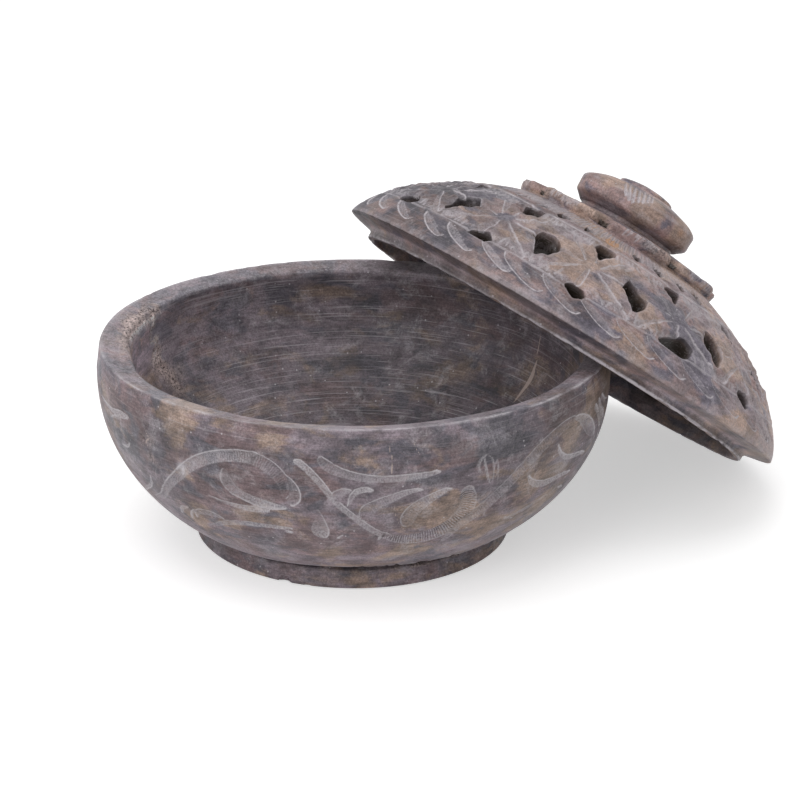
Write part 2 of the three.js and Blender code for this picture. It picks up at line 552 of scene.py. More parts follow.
def hues_at(points: Array, patches: Iterable[Patch], spot: Callable[[Patch], Vector]) -> Array:
    """How warm, rosy and light the stone is at each point, each below 0 where it is the opposite.

    Args:
        points: places in millimetres.
        patches: the places that differ.
        spot: gives a patch's middle on the surface.

    Returns:
        Three values for each point.
    """
    hues = np.zeros((len(points), 3))
    for patch in patches:
        gap = np.linalg.norm(points - np.array(spot(patch)), axis=1)
        near = hump(gap, patch.reach)
        hues += near[:, None] * (patch.warmth, patch.rose, patch.light)
    return hues


def keep_marks(mesh: bpy.types.Mesh, mark: Mark, values: Array) -> None:
    """Writes a vector for each point of a mesh.

    Args:
        mesh: the mesh.
        mark: which values these are.
        values: three numbers for each point.
    """
    layer = mesh.attributes.new(mark.value, "FLOAT_VECTOR", "POINT")
    layer.data.foreach_set("vector", np.ascontiguousarray(values, np.float32).ravel())


def mesh_points(mesh: bpy.types.Mesh) -> Array:
    """The points of a mesh in millimetres, one row each."""
    points = np.empty(len(mesh.vertices) * 3, np.float32)
    mesh.vertices.foreach_get("co", points)
    return points.reshape(-1, 3).astype(float) / MM


def show(name: str, mesh: bpy.types.Mesh) -> bpy.types.Object:
    """Puts a mesh into the scene as an object of that name."""
    piece = bpy.data.objects.new(name, mesh)
    bpy.context.scene.collection.objects.link(piece)
    return piece


class Tree:
    """Short ways to build one node tree."""

    def __init__(self, tree: bpy.types.NodeTree) -> None:
        """Keeps the tree."""
        self.tree = tree

    def node(self, kind: str, **settings: object) -> bpy.types.Node:
        """Adds a node.

        Args:
            kind: the node's type name.
            settings: properties to set on it.

        Returns:
            The new node.
        """
        made = self.tree.nodes.new(kind)
        for name, value in settings.items():
            setattr(made, name, value)
        return made

    def feed(self, socket: bpy.types.NodeSocket, value: object) -> None:
        """Links a socket's output, or sets a plain value, on an input."""
        if isinstance(value, bpy.types.NodeSocket):
            self.tree.links.new(value, socket)
        elif isinstance(value, tuple) and len(value) == 3 and socket.type == "RGBA":
            socket.default_value = (*value, 1)
        else:
            socket.default_value = value

    def math(
        self, operation: str, first: object, second: object = 0.0, clamp: bool = False
    ) -> bpy.types.NodeSocket:
        """A sum, product or other operation on two numbers."""
        made = self.node("ShaderNodeMath", operation=operation, use_clamp=clamp)
        self.feed(made.inputs[0], first)
        self.feed(made.inputs[1], second)
        return made.outputs[0]

    def vector(self, operation: str, first: object, second: object) -> bpy.types.NodeSocket:
        """An operation on two vectors; the second may be the factor of a SCALE."""
        made = self.node("ShaderNodeVectorMath", operation=operation)
        self.feed(made.inputs[0], first)
        self.feed(made.inputs["Scale" if operation == "SCALE" else 1], second)
        scalar = operation in ("DISTANCE", "LENGTH", "DOT_PRODUCT")
        return made.outputs["Value" if scalar else "Vector"]

    def grade(
        self, value: object, low: float, high: float, start: float = 0.0, end: float = 1.0
    ) -> bpy.types.NodeSocket:
        """Turns the range low to high smoothly into start to end."""
        made = self.node("ShaderNodeMapRange", interpolation_type="SMOOTHSTEP")
        for socket, setting in zip(made.inputs, (value, low, high, start, end)):
            self.feed(socket, setting)
        return made.outputs[0]

    def mix(self, share: object, first: object, second: object, blend: str = "MIX") -> bpy.types.NodeSocket:
        """Mixes two colours."""
        made = self.node("ShaderNodeMix", data_type="RGBA", blend_type=blend, clamp_result=True)
        self.feed(made.inputs[0], share)
        self.feed(made.inputs[6], first)
        self.feed(made.inputs[7], second)
        return made.outputs[2]

    def noise(
        self, place: object, size: float, detail: float = 2.0, rough: float = 0.5, warp: float = 0.0
    ) -> bpy.types.NodeSocket:
        """Noise with features of about the given size in millimetres."""
        made = self.node("ShaderNodeTexNoise")
        self.feed(made.inputs["Vector"], place)
        made.inputs["Scale"].default_value = 1 / size
        made.inputs["Detail"].default_value = detail
        made.inputs["Roughness"].default_value = rough
        made.inputs["Distortion"].default_value = warp
        return made.outputs[0]

    def grey(self, value: object) -> bpy.types.NodeSocket:
        """A number as an even grey, for multiplying a colour."""
        made = self.node("ShaderNodeCombineXYZ")
        for socket in made.inputs:
            self.feed(socket, value)
        return made.outputs[0]

    def marks(self, mark: Mark) -> bpy.types.NodeSocket:
        """The vector that the mesh keeps under a mark."""
        return self.node("ShaderNodeAttribute", attribute_name=mark.value).outputs["Vector"]

    def parts(self, vector: object) -> list[bpy.types.NodeSocket]:
        """The three numbers of a vector."""
        made = self.node("ShaderNodeSeparateXYZ")
        self.feed(made.inputs[0], vector)
        return list(made.outputs)

    def place(self, group: bpy.types.NodeTree, **values: object) -> bpy.types.Node:
        """Places a node group.

        Args:
            group: the group's tree.
            values: what each input gets, under the input's name with _ for a space.

        Returns:
            The group's node.
        """
        made = self.node("ShaderNodeGroup", node_tree=group)
        for name, value in values.items():
            self.feed(made.inputs[name.replace("_", " ")], value)
        return made


class Effects:
    """The effects that both stones share, each a node group built once."""

    def __init__(self) -> None:
        """Builds the groups."""
        self.mottle = self._mottle()
        self.lathe = self._lathe()
        self.cuts = self._cuts()
        self.grain = self._grain()

    @staticmethod
    def _group(name: str, inputs: dict[str, str], outputs: dict[str, str]) -> tuple[Tree, dict, dict]:
        """Starts a group with its sockets.

        Args:
            name: the group's name.
            inputs: socket kind of each input.
            outputs: socket kind of each output.

        Returns:
            The tree, its input sockets and its output sockets.
        """
        group = bpy.data.node_groups.new(name, "ShaderNodeTree")
        for socket, kind in inputs.items():
            group.interface.new_socket(socket, in_out="INPUT", socket_type=f"NodeSocket{kind}")
        for socket, kind in outputs.items():
            group.interface.new_socket(socket, in_out="OUTPUT", socket_type=f"NodeSocket{kind}")
        tree = Tree(group)
        entry = tree.node("NodeGroupInput").outputs
        exit_ = tree.node("NodeGroupOutput").inputs
        return tree, entry, exit_

    def _mottle(self) -> bpy.types.NodeTree:
        """Clouded soapstone: a ground colour with tan, rosy and slate clouds in it."""
        colours = {"Ground": "Color", "Tan": "Color", "Rose": "Color", "Slate": "Color"}
        amounts = {
            "Tan Amount": "Float", "Rose Amount": "Float", "Slate Amount": "Float", "Warmth": "Float",
            "Rosiness": "Float", "Light": "Float",
        }
        tree, entry, exit_ = self._group(
            "mottle", {"Place": "Vector", **colours, **amounts}, {"Color": "Color"}
        )
        place = entry["Place"]
        flattened = tree.vector("MULTIPLY", place, (0.8, 0.8, 1.5))
        shown = entry["Ground"]
        layers = (
            ("Rose", 12, 41.7, "Rosiness", 0.3), ("Tan", 9, 3.1, "Warmth", 0.3),
            ("Slate", 6.5, 77.3, "Warmth", -0.3),
        )
        for name, size, shift, hue, push in layers:
            moved = tree.vector("ADD", flattened, (shift, -shift, shift * 0.5))
            cloud = tree.noise(moved, size, 6, 0.6, 0.6)
            level = tree.math("ADD", cloud, tree.math("SUBTRACT", entry[f"{name} Amount"], 0.5))
            level = tree.math("ADD", level, tree.math("MULTIPLY", entry[hue], push))
            shown = tree.mix(tree.grade(level, 0.46, 0.6), shown, entry[name])
        blotch = tree.grade(tree.noise(flattened, 4.4, 4, 0.6, 0.5), 0.34, 0.66, 0.68, 1.3)
        smudge = tree.grade(tree.noise(place, 1.3, 3, 0.65), 0.3, 0.48, 0.76, 1.04)
        # Light brings lighter and darker stone, and the painted light and shade.
        shade = tree.math(
            "MULTIPLY", tree.math("MULTIPLY", blotch, smudge), tree.math("ADD", entry["Light"], 1.0)
        )
        tree.feed(exit_["Color"], tree.vector("MULTIPLY", shown, tree.grey(shade)))
        return tree.tree

    def _lathe(self) -> bpy.types.NodeTree:
        """Marks left by turning: short streaks about the axis, light and dark, with some long pale lines."""
        inputs = {"Place": "Vector", "Pitch": "Float", "Length": "Float"}
        tree, entry, exit_ = self._group("lathe", inputs, {"Streaks": "Float", "Lines": "Float"})
        parts = tree.parts(entry["Place"])
        squares = tree.math(
            "ADD", tree.math("MULTIPLY", parts[0], parts[0]), tree.math("MULTIPLY", parts[1], parts[1])
        )
        radius = tree.math("SQRT", squares)
        tree.feed(exit_["Streaks"], self._turned(tree, parts, radius, entry["Pitch"], entry["Length"]))
        wide = tree.math("MULTIPLY", entry["Pitch"], 1.3)
        long = self._turned(tree, parts, radius, wide, tree.math("MULTIPLY", entry["Length"], 6.0))
        tree.feed(exit_["Lines"], tree.grade(long, 0.55, 0.65))
        return tree.tree

    @staticmethod
    def _turned(
        tree: Tree, parts: list, radius: object, pitch: object, length: object
    ) -> bpy.types.NodeSocket:
        """Noise drawn out round the axis, the same on every side of it.

        Args:
            tree: the group's tree.
            parts: the place, split into its coordinates.
            radius: distance from the axis.
            pitch: spacing of the streaks.
            length: their length.

        Returns:
            The noise.
        """
        drawn = tree.node("ShaderNodeCombineXYZ")
        tree.feed(drawn.inputs[0], tree.math("DIVIDE", parts[0], length))
        tree.feed(drawn.inputs[1], tree.math("DIVIDE", parts[1], length))
        tree.feed(drawn.inputs[2], tree.math("DIVIDE", parts[2], pitch))
        noise = tree.node("ShaderNodeTexNoise", noise_dimensions="4D")
        tree.feed(noise.inputs["Vector"], drawn.outputs[0])
        tree.feed(noise.inputs["W"], tree.math("DIVIDE", radius, pitch))
        noise.inputs["Scale"].default_value = 1
        noise.inputs["Detail"].default_value = 3
        noise.inputs["Roughness"].default_value = 0.7
        return noise.outputs[0]

    def _cuts(self) -> bpy.types.NodeTree:
        """The look of gouged cuts: powder or a painted shade on their floor, pale edges with a painted
        highlight on the lit side, and chatter across them.
        """
        inputs = {"Place": "Vector", "Line": "Vector", "Tone": "Vector"}
        outputs = {"Powder": "Float", "Shade": "Float", "Rim": "Float", "Height": "Float"}
        tree, entry, exit_ = self._group("gouge cuts", inputs, outputs)
        edge, side, along = tree.parts(entry["Line"])
        powder, rim, chatter = tree.parts(entry["Tone"])
        ragged = tree.math(
            "MULTIPLY", tree.math("SUBTRACT", tree.noise(entry["Place"], 0.6, 3, 0.75), 0.5), 0.34
        )
        rough_edge = tree.math("ADD", edge, ragged)
        floor = tree.grade(rough_edge, 0.11, -0.14)
        stipple = tree.grade(tree.noise(entry["Place"], 0.4, 3, 0.85), 0.38, 0.6, 0.28, 1.0)
        wander = tree.math("MULTIPLY", tree.noise(entry["Place"], 1.6, 2), 7.0)
        waves = tree.math("SINE", tree.math("ADD", tree.math("MULTIPLY", along, 12.5), wander))
        hatch = tree.math("SUBTRACT", 1.0, tree.math("MULTIPLY", chatter, tree.grade(waves, 0.9, -0.6)))
        shown = tree.math("MULTIPLY", tree.math("MULTIPLY", floor, stipple), hatch)
        tree.feed(exit_["Powder"], tree.math("MULTIPLY", shown, tree.math("MAXIMUM", powder, 0.0)))
        # A floor below 0 gets a painted shade, broken by the chatter.
        dark = tree.math("MULTIPLY", tree.math("MAXIMUM", tree.math("MULTIPLY", powder, -1.0), 0.0), floor)
        tree.feed(exit_["Shade"], tree.math("MULTIPLY", dark, tree.grade(waves, -0.8, 0.8, 0.55, 1.0)))
        # The pale edge: powder, and a painted highlight on the lit side.
        near = tree.math("DIVIDE", tree.math("ADD", rough_edge, 0.05), 0.15)
        bell = tree.math("POWER", 2.718, tree.math("MULTIPLY", tree.math("MULTIPLY", near, near), -1.0))
        worn = tree.grade(tree.noise(entry["Place"], 1.5, 4, 0.7), 0.3, 0.54, 0.3, 1.0)
        lit_side = tree.grade(side, -0.4, 0.6, 0.1, 1.0)
        edged = tree.math("MULTIPLY", tree.math("MULTIPLY", bell, worn), lit_side)
        tree.feed(exit_["Rim"], tree.math("MULTIPLY", edged, rim))
        bumps = tree.math(
            "MULTIPLY", tree.math("MULTIPLY", waves, floor), tree.math("MULTIPLY", chatter, 0.8)
        )
        tree.feed(exit_["Height"], tree.math("ADD", bumps, tree.math("MULTIPLY", floor, stipple)))
        return tree.tree

    def _grain(self) -> bpy.types.NodeTree:
        """Fine grain, with pale specks."""
        tree, entry, exit_ = self._group("grain", {"Place": "Vector"}, {"Specks": "Float", "Grit": "Float"})
        cells = tree.node("ShaderNodeTexVoronoi", feature="F1")
        tree.feed(cells.inputs["Vector"], entry["Place"])
        cells.inputs["Scale"].default_value = 1 / 1.5
        spot = tree.grade(cells.outputs["Distance"], 0.16, 0.06)
        chosen = tree.node("ShaderNodeSeparateColor")
        tree.feed(chosen.inputs[0], cells.outputs["Color"])
        tree.feed(exit_["Specks"], tree.math("MULTIPLY", spot, tree.grade(chosen.outputs[0], 0.76, 0.84)))
        tree.feed(exit_["Grit"], tree.noise(entry["Place"], 0.42, 3, 0.9))
        return tree.tree


@dataclass(frozen=True)
class StoneFinish:
    """Carved soapstone: the colours of its clouds, powder and worn edges, the painted shade of its hollows,
    and how it shines.
    """

    name: str
    ground: Colour
    tan: Colour
    rose: Colour
    slate: Colour
    powder: Colour
    crust: Colour
    # The colour of the painted shade in the bowl's well and in the lid's hollow and piercings.
    inside: Colour
    vein: Colour = (0.5, 0.4, 0.36)
    # The orange of the lid's painted glow through thin stone, and of orange stone on the knob and collar.
    ochre_and_glow: Colour = (0.4, 0.22, 0.12)
    tan_amount: float = 0.5
    rose_amount: float = 0.48
    slate_amount: float = 0.48
    powder_share: float = 0.9
    rim_share: float = 0.85
    # How strongly the painted shade of hollows shows.
    inside_shade_share: float = 0.55
    inner_line_share: float = 0.35
    outer_line_share: float = 0.12
    dust_share: float = 0.55
    streak_depth: float = 0.3
    roughness: float = 0.52
    frame: Matrix = field(default_factory=Matrix)

    def material(self, effects: Effects) -> bpy.types.Material:
        """Builds the material.

        Args:
            effects: the shared node groups.

        Returns:
            The material.
        """
        made = bpy.data.materials.new(self.name)
        made.use_nodes = True
        made.node_tree.nodes.clear()
        tree = Tree(made.node_tree)
        place = self._place(tree)
        # Painted shade of hollows, edges worn pale with painted highlights, and crust.
        inside, worn, crust = tree.parts(tree.marks(Mark.SHADING_WEAR_AND_CRUST))
        dust, vein, arcs = tree.parts(tree.marks(Mark.FILM))
        # The third value holds lighter and darker stone and the painted light and shade.
        warmth, rosiness, light = tree.parts(tree.marks(Mark.HUE))
        lathe = tree.place(effects.lathe, Place=place, Pitch=0.3, Length=3.2)
        grain = tree.place(effects.grain, Place=place)
        cuts = tree.place(effects.cuts, Place=place, Line=tree.marks(Mark.CUT), Tone=tree.marks(Mark.TONE))

        clouds = tree.place(
            effects.mottle, Place=place, Ground=self.ground, Tan=self.tan, Rose=self.rose, Slate=self.slate,
            Warmth=warmth, Rosiness=rosiness, Light=light, Tan_Amount=self.tan_amount,
            Rose_Amount=self.rose_amount, Slate_Amount=self.slate_amount,
        )
        # Strong warmth turns orange: the painted glow through thin stone, and orange stone.
        hot = tree.grade(warmth, 1.1, 2.0, 0.0, 0.9)
        stone = tree.mix(hot, clouds.outputs["Color"], self.ochre_and_glow)
        # The painted shade of hollows: the inside colour, made lighter or darker by the painted light and
        # shade.
        painted_deep_shading = tree.vector("MULTIPLY", self.inside, tree.grey(tree.math("ADD", light, 1.0)))
        clean = tree.math("SUBTRACT", 1.0, hot)
        within = tree.math("MULTIPLY", tree.math("MULTIPLY", inside, self.inside_shade_share), clean)
        colour = tree.mix(within, stone, painted_deep_shading)
        low, high = 1 - self.streak_depth, 1 + self.streak_depth
        streaks = tree.grade(lathe.outputs["Streaks"], 0.32, 0.68, low, high)
        grit = tree.grade(grain.outputs["Grit"], 0.34, 0.66, 0.72, 1.3)
        colour = tree.mix(1.0, colour, tree.grey(tree.math("MULTIPLY", streaks, grit)), "MULTIPLY")
        line_share = tree.grade(arcs, 0, 1, self.outer_line_share, self.inner_line_share)
        colour = tree.mix(tree.math("MULTIPLY", lathe.outputs["Lines"], line_share), colour, self.powder)
        colour = tree.mix(tree.math("MULTIPLY", grain.outputs["Specks"], 0.7), colour, self.powder)
        film = tree.math("MULTIPLY", self._film(tree, place, grain, dust), clean)
        colour = tree.mix(film, colour, self.powder)

        powder = tree.math(
            "MULTIPLY", tree.math("MULTIPLY", cuts.outputs["Powder"], self.powder_share), clean
        )
        colour = tree.mix(powder, colour, self.powder)
        # Painted shade on the dark floors of cuts.
        colour = tree.mix(cuts.outputs["Shade"], colour, (0.028, 0.026, 0.032))
        # The cuts' pale edges: powder, and a painted highlight on their lit side.
        colour = tree.mix(tree.math("MULTIPLY", cuts.outputs["Rim"], self.rim_share), colour, self.powder)
        colour = tree.mix(tree.grade(vein, 0.11, 0.0, 0.0, 0.8), colour, self.vein)
        pitted = tree.grade(tree.noise(place, 0.55, 4, 0.9), 0.385, 0.49)
        # The crust takes the grain and the third hue value, with its painted light and shade.
        shaded = tree.grey(tree.math("MULTIPLY", grit, tree.math("ADD", light, 1.0)))
        crumbs = tree.mix(pitted, (0.045, 0.036, 0.034), tree.vector("MULTIPLY", self.crust, shaded))
        colour = tree.mix(crust, colour, crumbs)
        # Edges worn pale, and the painted edge highlights.
        rubbed_and_highlit = tree.math(
            "MULTIPLY", worn, tree.grade(tree.noise(place, 1.2, 4, 0.75), 0.3, 0.6, 0.15, 0.85)
        )
        colour = tree.mix(rubbed_and_highlit, colour, self.powder)

        shader = tree.node("ShaderNodeBsdfPrincipled")
        tree.feed(shader.inputs["Base Color"], colour)
        shader.inputs["Specular IOR Level"].default_value = 0.35
        sheen = tree.grade(
            tree.noise(place, 9, 3, 0.6), 0.3, 0.7, self.roughness - 0.08, self.roughness + 0.1
        )
        dusty = tree.math("MULTIPLY", cuts.outputs["Powder"], 0.3)
        tree.feed(shader.inputs["Roughness"], tree.math("ADD", sheen, dusty, clamp=True))
        tree.feed(shader.inputs["Normal"], self._relief(tree, lathe, grain, cuts, crust, pitted))
        output = tree.node("ShaderNodeOutputMaterial")
        tree.feed(output.inputs["Surface"], shader.outputs[0])
        return made

    def _place(self, tree: Tree) -> bpy.types.NodeSocket:
        """The place in the piece's own frame, in millimetres."""
        mapping = tree.node("ShaderNodeMapping", vector_type="TEXTURE")
        tree.feed(mapping.inputs["Vector"], tree.node("ShaderNodeTexCoord").outputs["Object"])
        mapping.inputs["Location"].default_value = self.frame.translation
        mapping.inputs["Rotation"].default_value = self.frame.to_euler()
        mapping.inputs["Scale"].default_value = (MM, MM, MM)
        return mapping.outputs[0]

    def _film(self, tree: Tree, place: object, grain: bpy.types.Node, dust: object) -> bpy.types.NodeSocket:
        """Stone dust left lying on the surface, as a share.

        Args:
            tree: the material's tree.
            place: the place in millimetres.
            grain: the grain.
            dust: how dusty each place is by the carver's hand.

        Returns:
            The share of dust.
        """
        scattered = tree.math("MULTIPLY", tree.grade(tree.noise(place, 5.2, 6, 0.75, 0.5), 0.5, 0.68), 0.34)
        brushed = tree.math("MULTIPLY", dust, tree.grade(tree.noise(place, 1.1, 5, 0.8, 0.6), 0.36, 0.62))
        both = tree.math("MAXIMUM", scattered, tree.math("MULTIPLY", brushed, self.dust_share))
        return tree.math("MULTIPLY", both, tree.grade(grain.outputs["Grit"], 0.3, 0.66, 0.35, 1.0))

    def _relief(
        self, tree: Tree, lathe: bpy.types.Node, grain: bpy.types.Node, cuts: bpy.types.Node, crust: object,
        pitted: object,
    ) -> bpy.types.NodeSocket:
        """The fine relief of the surface as a normal.

        Args:
            tree: the material's tree.
            lathe: the turning marks.
            grain: the grain.
            cuts: the cuts' powder.
            crust: how crusted the surface is.
            pitted: the crust's pits.

        Returns:
            The bent normal.
        """
        height = tree.math("MULTIPLY", lathe.outputs["Streaks"], 0.05)
        height = tree.math("ADD", height, tree.math("MULTIPLY", grain.outputs["Grit"], 0.04))
        height = tree.math("ADD", height, tree.math("MULTIPLY", cuts.outputs["Height"], 0.04))
        height = tree.math("ADD", height, tree.math("MULTIPLY", tree.math("MULTIPLY", pitted, crust), 0.25))
        bump = tree.node("ShaderNodeBump")
        bump.inputs["Strength"].default_value = 0.8
        bump.inputs["Distance"].default_value = MM
        tree.feed(bump.inputs["Height"], height)
        return bump.outputs[0]


MOTIF_CENTRE = 248.0

# Azimuth, height above the table and width of each cut of one scroll, as it stands at the front left.
SCROLL = (
    Stroke(
        (
            (213.8, 15.8, 0.7), (219.0, 17.7, 1.5), (222.2, 20.2, 1.8), (225.2, 22.5, 2.0),
            (228.8, 25.2, 2.2), (232.4, 27.9, 2.4), (236.0, 29.9, 2.5), (240.0, 31.4, 2.4),
            (244.4, 32.3, 2.4), (248.6, 32.4, 2.5),
        ),
        depth=0.6, powder=(0.55, 0.6), edge=(0.6, 1.0), chatter=0.35,
    ),
    Stroke(
        (
            (248.0, 32.4, 2.5), (250.4, 31.8, 2.6), (252.6, 30.7, 2.7), (254.3, 29.2, 2.6),
            (255.2, 27.8, 2.3), (255.5, 26.5, 1.9), (255.3, 25.3, 1.2),
        ),
        depth=0.75, powder=(0.45, 0.1), edge=(0.8, 0.9), chatter=0.7,
    ),
    Stroke(
        ((254.6, 30.2, 0.4), (256.4, 28.7, 1.0), (257.3, 26.9, 1.8), (257.3, 25.1, 2.2), (256.6, 24.1, 1.8)),
        depth=0.45, powder=(0.3, 0.25), edge=(0.9, 0.9),
    ),
    Stroke(
        (
            (241.6, 28.6, 1.3), (241.8, 26.9, 2.5), (243.0, 25.2, 2.5), (245.4, 24.1, 2.0),
            (248.6, 23.2, 2.1), (252.0, 22.7, 1.7), (255.0, 22.6, 0.6),
        ),
        depth=0.42, powder=(0.2, 1.0), edge=(0.45, 0.9), chatter=0.2, lit=-1.0,
    ),
    Stroke(
        ((236.4, 22.2, 0.4), (239.4, 21.6, 0.6), (243.6, 21.2, 1.1), (247.2, 21.2, 1.4), (250.6, 21.5, 1.2)),
        depth=0.3, powder=(0.3, 0.85), edge=(0.5, 0.9),
    ),
)
TROUGH = (
    Stroke(
        (
            (258.5, 32.5, 1.3), (260.4, 31.1, 1.3), (262.8, 28.7, 1.3), (265.2, 25.6, 1.2),
            (267.2, 23.5, 1.2), (269.4, 21.6, 1.2), (271.8, 19.6, 1.3), (274.8, 17.5, 1.4),
            (277.6, 16.2, 1.6),
        ),
        depth=0.5, powder=(0.75, 0.6), edge=(1.0, 1.0), chatter=0.1,
    ),
    Stroke(
        (
            (276.8, 16.4, 1.3), (279.6, 15.5, 2.1), (282.6, 15.1, 2.8), (285.8, 15.1, 3.4),
            (289.4, 15.9, 3.8), (292.6, 17.4, 3.9), (294.9, 19.8, 3.8), (295.5, 22.6, 3.5),
            (294.9, 25.0, 2.8),
        ),
        depth=0.75, powder=(0.75, 0.6), edge=(0.3, 0.4), chatter=1.0, lit=-1.0,
    ),
    Stroke(
        (
            (263.1, 33.3, 1.4), (264.4, 32.2, 2.0), (266.6, 31.1, 1.9), (269.6, 30.3, 1.6),
            (273.0, 29.7, 1.5), (277.0, 29.5, 1.3), (281.0, 29.6, 1.3), (284.6, 29.8, 1.2),
            (287.2, 30.1, 0.7),
        ),
        depth=0.45, powder=(0.3, 0.75), edge=(0.9, 1.0), chatter=0.25,
    ),
    Stroke(
        ((266.4, 24.6, 1.2), (266.2, 26.0, 1.9), (267.6, 26.9, 1.5), (269.0, 27.2, 0.6)),
        depth=0.3, powder=(0.1, 0.4), edge=(0.5, 0.8),
    ),
    Stroke(
        ((268.8, 24.0, 0.4), (269.4, 25.8, 0.9), (270.6, 27.0, 1.2), (272.2, 27.4, 1.2), (273.6, 27.2, 0.7)),
        depth=0.32, powder=(0.3, 1.0), edge=(0.9, 0.9),
    ),
    Stroke(
        (
            (272.6, 21.6, 2.8), (273.0, 22.9, 2.8), (275.0, 24.2, 2.2), (277.6, 25.3, 1.8),
            (280.4, 26.3, 1.3), (282.6, 26.8, 0.9), (283.7, 26.9, 0.5),
        ),
        depth=0.5, powder=(0.2, 0.8), edge=(0.7, 1.0), chatter=0.35,
    ),
    Stroke(
        (
            (281.9, 19.5, 2.4), (282.0, 20.8, 3.1), (283.2, 22.6, 2.9), (285.2, 24.1, 2.3),
            (287.4, 25.2, 1.7), (289.2, 26.0, 1.2), (290.2, 26.3, 0.6),
        ),
        depth=0.5, powder=(0.25, 0.85), edge=(0.6, 1.0), chatter=0.35,
    ),
    Stroke(
        ((262.0, 22.6, 0.6), (262.4, 20.6, 1.6), (262.3, 18.8, 2.9), (262.3, 17.4, 3.4), (262.8, 16.3, 1.6)),
        depth=0.45, powder=(-0.2, 0.75), edge=(0.3, 0.9),
    ),
)
# Small bright nicks at the tips of the cuts, where the gouge came out.
TIPS = (
    *(
        Stroke(way, depth=0.1, powder=(1.0, 1.0), edge=(1.0, 1.0))
        for way in (
            ((287.0, 30.2, 0.9), (288.0, 30.2, 0.5)), ((283.2, 26.9, 0.9), (284.3, 26.8, 0.4)),
            ((289.8, 26.3, 0.8), (290.9, 26.2, 0.4)), ((254.4, 16.7, 0.8), (255.7, 16.5, 0.4)),
        )
    ),
    Stroke(((257.9, 32.7, 1.0), (259.2, 32.4, 0.9)), depth=0.1, powder=(1.0, 0.9), edge=(1.0, 1.0)),
    Stroke(
        ((228.0, 25.5, 0.7), (229.6, 26.8, 0.9), (231.2, 28.0, 0.4)), depth=0.2, powder=(1.0, 1.0),
        edge=(1.0, 1.0),
    ),
    Stroke(((275.8, 15.6, 0.5), (276.2, 16.6, 0.5)), depth=0.1, powder=(0.9, 0.9)),
    Stroke(((266.2, 15.8, 0.5), (267.4, 16.6, 0.4)), depth=0.1, powder=(0.9, 0.7)),
)
LOW_LEAVES = (
    Stroke(
        (
            (232.4, 14.0, 0.4), (234.6, 14.7, 0.9), (237.4, 15.8, 1.2), (240.6, 16.6, 1.3),
            (244.2, 17.1, 1.2), (248.2, 17.4, 1.1), (252.4, 17.5, 0.9), (255.6, 17.4, 0.5),
        ),
        depth=0.42, powder=(0.35, 0.85), edge=(0.5, 0.9),
    ),
    Stroke(((223.4, 14.6, 0.5), (225.2, 16.6, 0.9), (227.8, 17.4, 0.5)), depth=0.2, powder=(0.5, 0.5)),
    Stroke(((226.8, 14.4, 0.5), (228.2, 16.2, 0.7), (229.6, 17.2, 0.5)), depth=0.2, powder=(0.6, 0.6)),
    Stroke(
        ((229.4, 15.4, 0.5), (230.6, 17.0, 1.3), (233.4, 17.6, 1.5), (236.2, 17.5, 1.1), (238.0, 17.2, 0.5)),
        depth=0.25, powder=(0.35, 0.4), edge=(0.8, 0.8),
    ),
)
FRONT_BUD = (
    Stroke(
        ((298.4, 32.2, 0.4), (297.0, 31.0, 0.7), (296.8, 29.6, 0.7), (297.8, 28.4, 0.3)), depth=0.2,
        powder=(0.45, 0.35), edge=(0.4, 0.3),
    ),
    Stroke(
        ((298.0, 31.6, 0.3), (298.5, 30.0, 0.5), (299.2, 27.8, 0.45), (300.2, 25.9, 0.25)), depth=0.3,
        powder=(0.9, 0.8), edge=(0.6, 0.6),
    ),
    Stroke(
        ((299.2, 31.8, 0.3), (300.3, 30.6, 0.4), (300.7, 28.4, 0.4), (300.8, 26.4, 0.2)), depth=0.22,
        powder=(0.5, 0.5), edge=(0.4, 0.4),
    ),
    Stroke(
        ((301.3, 30.6, 0.3), (301.8, 28.6, 0.35), (301.9, 26.2, 0.2)), depth=0.15, powder=(0.5, 0.5),
        edge=(0.4, 0.4),
    ),
    Stroke(
        ((301.0, 19.8, 0.3), (300.8, 18.7, 0.6), (301.6, 17.8, 0.3)), depth=0.15, powder=(0.4, 0.4),
        edge=(0.2, 0.2),
    ),
)
RIGHT_STEM = (
    Stroke(
        (
            (292.6, 13.6, 1.4), (294.6, 16.6, 2.2), (297.4, 18.6, 2.7), (300.4, 20.8, 2.8),
            (303.2, 23.0, 2.6), (305.6, 24.8, 2.5), (308.2, 26.9, 2.5), (310.8, 28.6, 2.5),
            (313.6, 30.2, 2.5), (316.4, 31.4, 2.4), (319.0, 32.2, 2.3), (322.0, 32.9, 2.0),
            (325.0, 33.2, 1.4),
        ),
        depth=0.5, powder=(0.5, 0.25), edge=(0.4, 0.7), chatter=0.35,
    ),
    Stroke(
        (
            (325.8, 33.2, 0.8), (328.2, 32.4, 1.8), (330.8, 30.9, 2.8), (333.4, 29.1, 3.1),
            (335.8, 27.5, 2.1), (337.4, 26.4, 0.7),
        ),
        depth=0.5, powder=(0.75, 0.45), edge=(1.0, 0.9), chatter=0.15,
    ),
)
